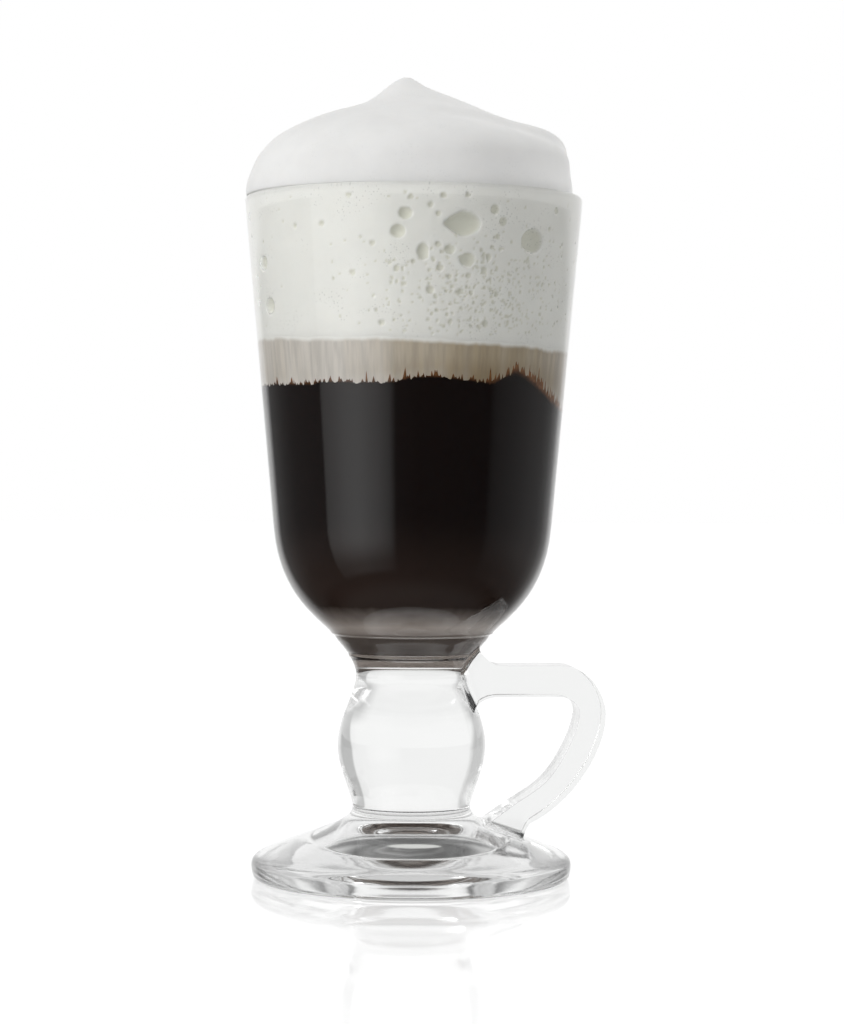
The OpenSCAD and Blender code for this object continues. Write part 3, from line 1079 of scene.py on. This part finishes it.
def build_foam(outline, drink):
    """The foam behind the glass, with its air bubbles as hollows against the wall.

    Returns its points, its faces and how hollow each point is, from 0 to 1."""
    degrees = column_degrees(FOAM_COLUMNS)
    low = cream_top(degrees)
    top = outline.points[outline.rim, 1]
    wall_r = 33
    below_rim = 0.6
    hardly = 0.0008
    t = np.concatenate([[0, hardly], np.linspace(0, 1, 92)[1:]])[:, None]
    rows = len(t)
    z = low[None, :] + (top - below_rim - low[None, :]) * t
    radius = wall_reach(outline, drink)
    r = radius(z)
    depth = np.zeros_like(r)
    empty = np.zeros_like(r)
    for theta, height, wide, tall, drawn in bubble_list():
        across = turned_by(degrees, theta) * math.pi / 180 * wall_r
        near = np.nonzero(np.abs(across) < wide)[0]
        if len(near) == 0:
            continue
        a = across[near][None, :] / (wide / 2)
        b = (z[:, near] - height) / (tall / 2)
        if drawn:
            b = b / (1 - 0.55 * drawn * np.clip(-a, 0, 1) ** 1.3)
        hollow = np.clip(1 - a * a - b * b, 0, 1) ** 0.5
        deep = min(wide, tall) * 0.3 + 0.05
        depth[:, near] = np.maximum(depth[:, near], hollow * deep)
        empty[:, near] = np.maximum(empty[:, near], np.clip(hollow * 2, 0, 1))
    r = r - depth
    lid = level_ring(HEART_R, top - below_rim / 2, FOAM_COLUMNS)
    rings = [level_ring(HEART_R, float(low.mean()), FOAM_COLUMNS), (radius(low) - 1, low)]
    rings += list(zip(r, z))
    rings += [(radius(z[-1]) - 1.0, lid[1]), lid]
    points, faces = turned_skin(rings)
    share = np.zeros(len(points))
    share[2 * FOAM_COLUMNS : (2 + rows) * FOAM_COLUMNS] = empty.reshape(-1)
    return points, faces, share


# Side lines of the crown, seen from the front: height above the table, left and right of the axis

CROWN_SIDES = (
    (149.6, -36.6, 34.6), (150.6, -37.0, 34.9), (151.7, -36.9, 34.9), (153.0, -36.7, 34.6),
    (154.3, -36.3, 34.3), (155.6, -35.8, 34.15), (157.0, -35.2, 34.1), (158.3, -34.5, 34.0),
    (159.6, -33.4, 33.6), (160.9, -32.1, 32.8), (162.3, -30.5, 31.6), (163.6, -28.3, 29.7),
    (164.9, -25.9, 26.9), (166.2, -23.0, 22.9), (167.5, -19.3, 19.3), (168.9, -14.6, 15.8),
    (170.2, -10.7, 12.8), (171.5, -8.7, 9.6), (172.8, -7.1, 6.5), (174.2, -5.6, 2.9), (175.2, -4.4, 1.0),
    (175.9, -3.4, 0.0), (176.3, -2.3, -1.0),
)  # fmt: skip
CROWN_COLUMNS = 320


def build_crown(drink):
    """The crown of foam: smooth shoulders, a soft fold at the right and a leaning peak."""
    sides = np.array(CROWN_SIDES, float)
    rim_z = 150
    drawn_peak_z = 176.4
    scale = (drink.peak_height / MM - rim_z) / (drawn_peak_z - rim_z)
    sides[:, 0] = rim_z + (sides[:, 0] - rim_z) * scale
    centre = (sides[:, 1] + sides[:, 2]) / 2
    half = (sides[:, 2] - sides[:, 1]) / 2
    path = np.stack([half, sides[:, 0], centre], axis=1)
    run = along(path[:, :2])
    rows = 96
    reach = 6
    even = np.stack([np.interp(np.linspace(0, run[-1], rows), run, path[:, k]) for k in range(3)], axis=1)
    padded = np.concatenate([np.repeat(even[:1], reach, axis=0), even, np.repeat(even[-1:], reach, axis=0)])
    radius, height, lean = blurred(padded, 1.8, reach).T
    theta = np.arange(CROWN_COLUMNS) * FULL_TURN / CROWN_COLUMNS
    r = radius[:, None] * np.ones(CROWN_COLUMNS)
    z = height[:, None] * np.ones(CROWN_COLUMNS)
    deep = 0.985 + 0.015 * np.cos(2 * theta)
    points_x = r * np.cos(theta) + lean[:, None]
    points_y = r * np.sin(theta) * deep
    base = np.stack([points_x, points_y, z], axis=2)
    free_z = 151.5
    easing = 6
    free = np.clip((z - free_z) / easing, 0, 1) * np.clip(r / easing, 0, 1)
    lumps = soft_lumps(base, 31, 0.075, 8) * 0.34 + soft_lumps(base, 32, 0.16, 8) * 0.12
    base = base + grid_normals(base) * (free * (lumps + crown_fold(base)))[:, :, None]
    return closed_skin(base, tip=0.08)


def soft_lumps(points, seed, frequency, count):
    """Smooth low lumps through space, the same on each run."""
    rng = np.random.default_rng(seed)
    total = np.zeros(points.shape[:2])
    for _ in range(count):
        direction = rng.normal(size=3)
        direction /= np.linalg.norm(direction)
        k = frequency * rng.uniform(0.6, 1.5) * FULL_TURN / 3
        total += np.sin(points @ direction * k + rng.uniform(0, FULL_TURN))
    return total / math.sqrt(count)


def crown_fold(points):
    """A soft ridge that winds down from the peak over the right shoulder."""
    turn = np.degrees(np.arctan2(points[:, :, 1], points[:, :, 0]))
    places = (-180, -120, -80, -50, -20, 10, 40, 180)
    line = np.interp(turn, places, (150, 166, 168.2, 167, 163, 158, 153, 150))
    gap = points[:, :, 2] - line
    strength = 0.42 * np.interp(turn, (-130, -90, -50, 20, 60), (0, 0.5, 1, 1, 0))
    ridge = np.exp(-((gap / 1.3) ** 2))
    valley = 0.8 * np.exp(-(((gap + 2.2) / 1.4) ** 2))
    return strength * (ridge - valley)


# Finishes of the drink


def against_glass(t, shader, limit=None):
    """The skin of something wet that lies against glass mirrors light that meets it at a flat angle."""
    share = t.node("ShaderNodeFresnel", {"IOR": 0.88}).outputs[0]
    if limit:
        share = t.math("MULTIPLY", share, limit)
    mirror = t.node("ShaderNodeBsdfGlossy", {"Color": (1, 1, 1, 1), "Roughness": 0.03})
    t.finish(t.node("ShaderNodeMixShader", {0: share, 1: shader.outputs[0], 2: mirror.outputs[0]}))


def matt_liquid(t, colour):
    """A matt surface that doesn't mirror by itself."""
    inputs = {"Base Color": colour, "Roughness": 0.6, "Specular IOR Level": 0.0}
    return t.node("ShaderNodeBsdfPrincipled", inputs)


# Painted glow on the coffee on the bowl's floor, where light reaches it from below: distance from the
# axis in units of 25 mm, and brightness
PAINTED_FLOOR_GLOW = ((0.0, 0.07), (0.40, 0.12), (0.54, 0.36), (0.66, 0.48), (0.76, 0.22), (0.88, 0.0))
PAINTED_GLOW_TINT = (1.0, 0.89, 0.81)


def coffee_finish(colours):
    """Near black coffee with painted glow, lighter and browner low in the bowl and on its floor; browner
    too in the thin wisps at its edge.
    """
    material = bpy.data.materials.new("coffee")
    t = Tree(material)
    place = t.node("ShaderNodeTexCoord").outputs["Object"]
    x, y, z = t.apart(place)
    # Painted glow: the coffee made lighter and browner towards the bowl's floor
    deep = t.mix(t.remap(z, 0.060, 0.082), colours.coffee_painted_glow, colours.coffee)
    out = t.math("SQRT", t.math("ADD", t.math("MULTIPLY", x, x), t.math("MULTIPLY", y, y)))
    radial = t.noise(t.vector("NORMALIZE", place)[0], 30.0, 3.0)
    out = t.math("ADD", out, t.swing(radial, 0.5, 0.0012))
    # Painted glow added to the coffee's colour in rings round the axis on the bowl's floor
    floor = t.tinted(t.ramp(t.math("MULTIPLY", out, 40.0), PAINTED_FLOOR_GLOW), PAINTED_GLOW_TINT)
    deep = t.mix(1.0, deep, t.mix(t.remap(z, 0.062, 0.066), floor, BLACK), "ADD")
    grain = t.noise(place, 900.0, 2.0)
    share = t.math("MULTIPLY", t.attribute("wisp"), t.remap(grain, 0.25, 0.75, 0.55, 1.25), clamp=True)
    shader = matt_liquid(t, t.mix(share, deep, colours.wisp))
    against_glass(t, shader, t.remap(z, 0.058, 0.066))
    return material


def streaks(t, place, scale):
    """Noise drawn out upwards, for cream that has run down the wall."""
    stretch = t.node("ShaderNodeMapping", {"Vector": place, "Scale": (1.0, 1.0, 0.035)}).outputs[0]
    return t.noise(stretch, scale, 3.0)


def cream_finish(colours):
    """Stained cream, paler at the left, tan in front and darker over the coffee, with upright streaks."""
    material = bpy.data.materials.new("stained_cream")
    t = Tree(material)
    place = t.node("ShaderNodeTexCoord").outputs["Object"]
    up = t.remap(t.apart(place)["Z"], 0.1085, 0.1150)
    fine = streaks(t, place, 900.0)
    broad = streaks(t, place, 260.0)
    shift = t.math("MULTIPLY_ADD", broad, 0.7, t.math("MULTIPLY", fine, 0.35))
    middle = 0.525
    stain = t.math("ADD", t.attribute("stain"), t.swing(shift, middle, 0.9), clamp=True)
    base = t.mix(stain, colours.cream_pale, colours.cream_tan)
    low = t.mix(t.math("MULTIPLY", stain, 0.9), WHITE, (0.68, 0.62, 0.52))
    share = t.math("ADD", up, t.swing(shift, middle, 0.8), clamp=True)
    base = t.tinted(base, t.mix(share, low, WHITE))
    near = t.math("ADD", t.attribute("above_coffee"), t.swing(shift, middle, 1.6))
    paler = t.math("MULTIPLY", t.remap(near, 0.25, 0.95, 0.75, 0.0), t.math("SUBTRACT", 1.0, stain))
    base = t.mix(paler, base, colours.cream_pale)
    base = t.tinted(base, t.grey(t.remap(fine, 0.3, 0.7, 0.86, 1.08)))
    below = t.math("ADD", t.attribute("below_foam"), t.swing(shift, middle, 0.5))
    base = t.mix(t.remap(below, 0.02, 0.42), colours.foam, base)
    against_glass(t, matt_liquid(t, base))
    return material


def foam_finish(name, colour, pore_shade, wet):
    """Matt milk foam: faint cloudy patches, fine foam cells darkened with painted shade and, behind glass,
    bubbles tinted olive grey with painted shade.
    """
    material = bpy.data.materials.new(name)
    t = Tree(material)
    place = t.node("ShaderNodeTexCoord").outputs["Object"]
    clouds = t.noise(place, 90.0, 4.0, 0.6)
    soft = t.remap(clouds, 0.3, 0.7, 0.955, 1.0)
    cells = t.node("ShaderNodeTexVoronoi", {"Vector": place, "Scale": 1500.0}).outputs["Distance"]
    # Painted shade: the foam darkened in its fine cells; the same pattern dents the surface
    pore_dents_and_shade = t.remap(cells, 0.10, 0.32, 1 - pore_shade, 1.0)
    thick = t.remap(t.noise(place, 160.0, 2.0), 0.48, 0.62)
    pore_dents_and_shade = t.math("SUBTRACT", 1.0, t.math("MULTIPLY", t.math("SUBTRACT", 1.0, pore_dents_and_shade), thick))
    base = t.tinted(t.grey(t.math("MULTIPLY", soft, pore_dents_and_shade)), colour)
    if wet:
        hollow = t.attribute("hollow")
        # Painted shade: the foam inside the bubbles' hollows tinted darker olive grey
        base = t.mix(hollow, base, t.tinted(base, (0.87, 0.865, 0.80)))
    bump = t.node("ShaderNodeBump", {"Height": pore_dents_and_shade, "Strength": 0.25, "Distance": 0.0003})
    shader = t.node(
        "ShaderNodeBsdfPrincipled",
        {
            "Base Color": base,
            "Roughness": 0.7,
            "Specular IOR Level": 0.2,
            "Subsurface Weight": 0.35,
            "Subsurface Radius": (1.0, 0.95, 0.9),
            "Subsurface Scale": 0.002,
            "Normal": bump.outputs["Normal"],
        },
    )
    if wet:
        against_glass(t, shader, t.math("SUBTRACT", 1.0, hollow))
    else:
        t.finish(shader)
    return material


# Stage

# Panels round the mug that its glass shows, low and then high: degrees from the far side towards the
# handle, and brightness
SEEN_THROUGH = (
    (-180, 0.8), (-165, 0.95), (-150, 1.0), (-115, 0.9), (-98, 0.6), (-75, 0.6), (-66, 0.55), (-48, 0.55),
    (-42, 0.55), (-35, 0.955), (46, 0.955), (48, 0.55), (66, 0.55), (90, 0.65), (105, 1.0), (118, 1.0),
    (130, 0.65), (160, 0.65), (180, 0.8),
)  # fmt: skip
SEEN_ABOVE = (
    (-180, 1.0), (-165, 1.0), (-150, 0.9), (-115, 0.9), (-95, 0.85), (-45, 0.8), (-35, 0.88), (35, 0.88),
    (45, 0.8), (85, 0.85), (100, 1.2), (118, 1.2), (130, 0.85), (160, 0.85), (180, 1.0),
)  # fmt: skip
# The same panels painted on the table as light and shade that the glass shows, far from the foot and near
# it
PANELS_PAINTED_ON_TABLE = (
    (-180, 0.85), (-100, 0.8), (-70, 0.55), (-48, 0.5), (-41, 0.5), (-34, 0.945), (-26, 0.955),
    (38, 0.955), (46, 0.9), (48, 0.5), (64, 0.5), (75, 0.7), (110, 0.85), (180, 0.85),
)  # fmt: skip
PANELS_PAINTED_NEAR_FOOT = ((-180, 0.75), (-38, 0.48), (-26, 0.93), (26, 0.93), (38, 0.48), (180, 0.75))
# The panels that the glass mirrors
MIRRORED = (
    (-180, 0.0), (-162, 0.03), (-157, 0.5), (-147, 0.85), (-132, 1.22), (-122, 1.15), (-111, 0.85),
    (-102, 0.66), (-100, 0.10), (-67, 0.13), (-46, 0.20), (-34, 0.22), (-25, 1.0), (30, 1.0), (39, 0.55),
    (52, 0.33), (63, 0.28), (80, 0.28), (95, 0.23), (113, 0.14), (119, 0.1), (124, 0.0), (180, 0.0),
)  # fmt: skip
# Painted shade and light on the table under and round the foot: distance from the axis in units of 100 mm,
# and brightness
PAINTED_LIGHT_AND_SHADE_NEAR_FOOT = (
    (0.0, 0.28), (0.020, 0.14), (0.036, 0.26), (0.046, 0.12), (0.062, 0.22), (0.072, 0.34), (0.085, 0.16),
    (0.100, 0.20), (0.120, 0.08), (0.135, 0.22), (0.150, 0.38), (0.170, 0.55), (0.205, 0.70),
    (0.230, 0.85), (0.270, 1.1), (0.300, 0.85), (0.330, 0.62), (0.370, 0.72), (0.420, 0.80),
    (0.470, 0.95), (1.0, 1.0),
)  # fmt: skip


def round_the_mug(t, vector, stops):
    """Brightness of the panels round the mug in the direction of a vector."""
    x, y, _ = t.apart(vector)
    share = t.math("MULTIPLY_ADD", t.math("ARCTAN2", x, y), 1 / FULL_TURN, 0.5)
    return t.ramp(share, [((degrees + 180) / 360, value) for degrees, value in stops])


def mirrored_round(t, way, z):
    """What the glass mirrors: panels below the horizon, darker low down, white above it, grey high up."""
    mirrored = round_the_mug(t, way, MIRRORED)
    mirrored = t.mix(t.remap(z, -0.60, -0.22, 0.75, 0.0), mirrored, BLACK)
    mirrored = t.mix(t.remap(z, -0.70, -0.60), BLACK, mirrored)
    mirrored = t.mix(t.remap(z, 0.0, 0.03), mirrored, WHITE)
    mirrored = t.mix(t.remap(z, 0.40, 0.55), mirrored, (0.45, 0.45, 0.45))
    return t.mix(t.remap(z, -0.90, -0.70), (0.1, 0.1, 0.1), mirrored)


def build_world():
    """White to the camera; through the glass and in its gloss, white panels with grey gaps."""
    world = bpy.data.worlds.new("studio")
    bpy.context.scene.world = world
    t = Tree(world)
    way = t.node("ShaderNodeTexCoord").outputs["Generated"]
    path = t.node("ShaderNodeLightPath").outputs
    x, y, z = t.apart(way)
    low = round_the_mug(t, way, SEEN_THROUGH)
    through = t.mix(t.remap(z, 0.34, 0.46), low, round_the_mug(t, way, SEEN_ABOVE))
    overhead = t.math("MULTIPLY", t.remap(z, 0.60, 0.74), t.remap(y, -0.35, 0.05))
    through = t.mix(overhead, through, (0.62, 0.62, 0.62))
    mirrored = mirrored_round(t, way, z)
    sideways = t.math("MULTIPLY_ADD", x, -0.08, 0.575)
    rear = t.math("ADD", x, t.math("MULTIPLY_ADD", y, 0.9, -0.6))
    behind = t.math("MULTIPLY", t.math("MAXIMUM", rear, 0.0), 2.5)
    level = t.mix(path["Is Glossy Ray"], t.grey(t.math("ADD", sideways, behind)), mirrored)
    level = t.mix(path["Is Transmission Ray"], level, through)
    level = t.mix(path["Is Camera Ray"], level, WHITE)
    shader = t.node("ShaderNodeBackground", {"Color": level, "Strength": 1.0})
    t.node("ShaderNodeOutputWorld", {"Surface": shader.outputs[0]})


def painted_table_near_foot(t, place, distance):
    """What the glass shows of the table near and under the foot, all painted: rings of painted shade and a
    painted highlight.
    """
    waves = t.noise(place, 110.0, 2.0)
    waved = t.math("ADD", t.swing(waves, 0.5, 0.006), distance)
    # Painted shade and light in rings round the axis
    near = t.ramp(t.math("MULTIPLY", waved, 10.0), PAINTED_LIGHT_AND_SHADE_NEAR_FOOT)
    x, y, _ = t.apart(place)
    # Painted shade under the dome, on its right half
    inside = t.remap(distance, 0.013, 0.018, 1.0, 0.0)
    painted_shade_under_dome = t.math("MULTIPLY", inside, t.remap(x, -0.006, 0.006))
    near = t.mix(painted_shade_under_dome, near, t.tinted(near, (0.45, 0.45, 0.45)))
    # Painted shade: the table made dark behind the axis under the foot
    behind = t.math("MULTIPLY", t.remap(y, 0.004, 0.014), t.remap(distance, 0.031, 0.036, 1.0, 0.0))
    near = t.mix(behind, near, (0.10, 0.10, 0.10))
    # Painted highlight: a small bright patch near the axis
    from_painted_highlight = t.vector("SUBTRACT", place, (0.001, 0.0045, 0.0))[0]
    squeezed = t.vector("MULTIPLY", from_painted_highlight, (1.0, 1.7, 1.0))[0]
    painted_highlight = t.math("ADD", t.swing(waves, 0.5, 0.003), t.vector("LENGTH", squeezed)["Value"])
    return t.mix(t.remap(painted_highlight, 0.0055, 0.0068, 1.0, 0.0), near, (0.68, 0.68, 0.66))


def table_finish(colour):
    """White table, white to the camera: takes the mug's shadow and mirrors it at a flat angle; through the
    glass it glows with painted light and shade.
    """
    material = bpy.data.materials.new("white_table")
    t = Tree(material)
    place = t.node("ShaderNodeNewGeometry").outputs["Position"]
    path = t.node("ShaderNodeLightPath").outputs
    distance = t.vector("LENGTH", place)["Value"]
    matt = t.node("ShaderNodeBsdfDiffuse", {"Color": (*colour, 1)})
    seen = t.math("MAXIMUM", path["Is Camera Ray"], path["Is Glossy Ray"])
    glow_level = t.math("MULTIPLY", seen, t.remap(distance, 0.15, 0.7, 0.74, 1.0))
    glow = t.node("ShaderNodeEmission", {"Strength": glow_level})
    lit = t.node("ShaderNodeAddShader", {0: matt.outputs[0], 1: glow.outputs[0]})
    mirror = t.node("ShaderNodeBsdfGlossy", {"Color": (1, 1, 1, 1), "Roughness": 0.05})
    share = t.node("ShaderNodeFresnel", {"IOR": 1.38}).outputs[0]
    whole = t.node("ShaderNodeMixShader", {0: share, 1: lit.outputs[0], 2: mirror.outputs[0]})
    # Painted light and shade: the panels as the table shows them through the glass, far from the foot and
    # near it
    far = round_the_mug(t, place, PANELS_PAINTED_ON_TABLE)
    through = t.mix(t.remap(distance, 0.05, 0.12), round_the_mug(t, place, PANELS_PAINTED_NEAR_FOOT), far)
    through = t.mix(t.remap(distance, 0.05, 0.07), WHITE, through)
    near = painted_table_near_foot(t, place, distance)
    # Painted light and shade: rays through the glass see the table glow with these instead of its lit
    # surface
    painted_light_and_shade = t.node("ShaderNodeEmission", {"Color": t.tinted(through, near)})
    shares = {0: path["Is Transmission Ray"], 1: whole.outputs[0], 2: painted_light_and_shade.outputs[0]}
    t.finish(t.node("ShaderNodeMixShader", shares))
    return material


def build_table(colour):
    """A large round table top with the mug in its middle."""
    rings = (0.0, 0.12, 0.4, 1.2, 4.0)
    columns = 64
    points = [(0, 0, 0)]
    faces = []
    for r in rings[1:]:
        for k in range(columns):
            a = FULL_TURN * k / columns
            points.append((r * math.cos(a), r * math.sin(a), 0))
    for k in range(columns):
        k1 = (k + 1) % columns
        faces.append((0, 1 + k, 1 + k1))
        for i in range(len(rings) - 2):
            a, b = 1 + i * columns, 1 + (i + 1) * columns
            faces.append((a + k, b + k, b + k1, a + k1))
    mesh = bpy.data.meshes.new("table")
    mesh.from_pydata(points, [], faces)
    mesh.materials.append(table_finish(colour))
    table = bpy.data.objects.new("table", mesh)
    bpy.context.scene.collection.objects.link(table)
    table.visible_glossy = False


def add_lamp(name, place, target, width, height, power):
    """A soft rectangular lamp that faces a point."""
    lamp = bpy.data.lights.new(name, "AREA")
    lamp.shape = "RECTANGLE"
    lamp.size = width
    lamp.size_y = height
    lamp.energy = power
    holder = bpy.data.objects.new(name, lamp)
    bpy.context.scene.collection.objects.link(holder)
    holder.location = place
    way = np.array(target) - np.array(place)
    holder.rotation_mode = "QUATERNION"
    holder.rotation_quaternion = Vector(way).to_track_quat("-Z", "Y")
    holder.visible_camera = False
    holder.visible_glossy = False


def build_camera():
    """A long lens a little above the table, level with the middle of the mug."""
    camera = bpy.data.cameras.new("camera")
    camera.lens = 100
    camera.sensor_width = 36
    camera.clip_start = 0.05
    camera.clip_end = 50
    place = (-0.05257, -0.62479, 0.09067)
    holder = bpy.data.objects.new("camera", camera)
    bpy.context.scene.collection.objects.link(holder)
    turn = math.radians(5.0)
    down = math.radians(0.9064)
    roll = math.radians(-0.25)
    right = np.array([math.cos(turn), -math.sin(turn), 0])
    level = np.array([math.sin(turn), math.cos(turn), 0])
    forward = level * math.cos(down) - np.array([0, 0, 1]) * math.sin(down)
    up = np.cross(right, forward)
    turned_right = right * math.cos(roll) - up * math.sin(roll)
    turned_up = up * math.cos(roll) + right * math.sin(roll)
    matrix = Matrix.Identity(4)
    for k in range(3):
        matrix[k][0] = turned_right[k]
        matrix[k][1] = turned_up[k]
        matrix[k][2] = -forward[k]
        matrix[k][3] = place[k]
    holder.matrix_world = matrix
    bpy.context.scene.camera = holder


# Operators


class MUG_OT_glass(bpy.types.Operator):
    """Build the bowl, stem, foot and strap handle of fused clear glass"""

    bl_idname = "mug.glass"
    bl_label = "Glass"

    def execute(self, context):
        glass = context.scene.mug_glass
        colours = context.scene.mug_colours
        pool = build_glass(glass)
        own_glass = {
            "bowl": clear_glass("clear_glass_bowl", colours.glass, lets_in=0.88),
            "stem": clear_glass("clear_glass", colours.glass, roughness=0.05),
            "foot": clear_glass("clear_glass_foot", colours.pressed_glass, roughness=0.06),
            "handle": clear_glass("clear_glass_strap", colours.pressed_glass, roughness=0.1),
        }
        joint = fused_joint()
        for node, finish in own_glass.items():
            points, faces, normals, slots = pool.piece(node)
            finishes = [finish, joint]
            make_piece(node + "_glass", points, faces, finishes, slots, normals, node)
        return {"FINISHED"}


class MUG_OT_drink(bpy.types.Operator):
    """Build the coffee, the stained cream and the foam behind the glass"""

    bl_idname = "mug.drink"
    bl_label = "Drink"

    def execute(self, context):
        outline = Outline(context.scene.mug_glass)
        drink = context.scene.mug_drink
        colours = context.scene.mug_colours
        points, faces = build_coffee(outline, drink)
        finish = coffee_finish(colours)
        piece = make_piece("coffee_fill", points, faces, [finish], node="coffee")
        mark_points(piece, "wisp", wisp_share(points))
        points, faces = build_cream(outline, drink)
        finish = cream_finish(colours)
        node = "stained_cream"
        piece = make_piece("stained_cream_layer", points, faces, [finish], node=node)
        degrees = degrees_of(points)
        mark_points(piece, "stain", line_height(STAIN, degrees))
        mark_points(piece, "below_foam", (cream_top(degrees) - points[:, 2]) / 3)
        mark_points(piece, "above_coffee", (points[:, 2] - line_height(COFFEE_LINE, degrees)) / 3)
        points, faces, hollow = build_foam(outline, drink)
        finish = foam_finish("milk_foam", colours.foam, 0.22, True)
        piece = make_piece("milk_foam_layer", points, faces, [finish], node="milk_foam")
        mark_points(piece, "hollow", hollow)
        return {"FINISHED"}


def mark_points(piece, name, values):
    """Gives each of a piece's points a value that its finish reads."""
    attribute = piece.data.attributes.new(name, "FLOAT", "POINT")
    attribute.data.foreach_set("value", np.clip(values, 0, 1).astype(np.float32))


def wisp_share(points):
    """How far each point of the coffee stands above the coffee's line, from 0 to 1."""
    degrees = degrees_of(points)
    above = points[:, 2] - line_height(COFFEE_LINE, degrees)
    sloped = np.interp(degrees, (-60, -50, -40, -15, 0, 10), (0, 0.2, 0.6, 0.8, 0.5, 0))
    return 0.9 * np.clip(above / 1.1, 0, 1) ** 0.8 + sloped * np.clip(1 + above / 0.8, 0, 1)


class MUG_OT_crown(bpy.types.Operator):
    """Build the crown of foam above the rim"""

    bl_idname = "mug.crown"
    bl_label = "Foam crown"

    def execute(self, context):
        points, faces = build_crown(context.scene.mug_drink)
        finish = foam_finish("foam_crown", context.scene.mug_colours.crown, 0.05, False)
        make_piece("foam_crown_top", points, faces, [finish], node="foam_crown")
        return {"FINISHED"}


class MUG_OT_stage(bpy.types.Operator):
    """Build the white table, the lamp, the surrounding panels and the camera"""

    bl_idname = "mug.stage"
    bl_label = "Stage"

    def execute(self, context):
        build_world()
        build_table(context.scene.mug_colours.table)
        place = (-0.75, -0.55, 0.45)
        add_lamp("left_softbox", place, target=(0, 0, 0.1), width=0.5, height=0.8, power=3.8)
        build_camera()
        cycles = context.scene.cycles
        cycles.max_bounces = 28
        cycles.transmission_bounces = 28
        cycles.glossy_bounces = 12
        cycles.transparent_max_bounces = 48
        context.scene.view_settings.view_transform = "Standard"
        return {"FINISHED"}


class MUG_PT_panel(bpy.types.Panel):
    """Lists the mug's operators, sizes and colours"""

    bl_idname = "MUG_PT_panel"
    bl_label = "Irish Coffee Mug"
    bl_space_type = "VIEW_3D"
    bl_region_type = "UI"
    bl_category = "Mug"

    def draw(self, context):
        for operator in (MUG_OT_glass, MUG_OT_drink, MUG_OT_crown, MUG_OT_stage):
            self.layout.operator(operator.bl_idname)
        for group in ("mug_glass", "mug_drink", "mug_colours"):
            settings = getattr(context.scene, group)
            for name in settings.__annotations__:
                self.layout.prop(settings, name)


GROUPS = {"mug_glass": MugGlassSizes, "mug_drink": MugDrinkSizes, "mug_colours": MugColours}
CLASSES = (*GROUPS.values(), MUG_OT_glass, MUG_OT_drink, MUG_OT_crown, MUG_OT_stage, MUG_PT_panel)


def register():
    """Adds the mug's classes and properties to Blender."""
    for cls in CLASSES:
        bpy.utils.register_class(cls)
    for name, group in GROUPS.items():
        setattr(bpy.types.Scene, name, bpy.props.PointerProperty(type=group))


def unregister():
    """Takes them out again."""
    for name in GROUPS:
        delattr(bpy.types.Scene, name)
    for cls in reversed(CLASSES):
        bpy.utils.unregister_class(cls)


def main():
    """Builds the whole scene."""
    register()
    bpy.ops.mug.glass()
    bpy.ops.mug.drink()
    bpy.ops.mug.crown()
    bpy.ops.mug.stage()


if __name__ == "__main__":
    main()
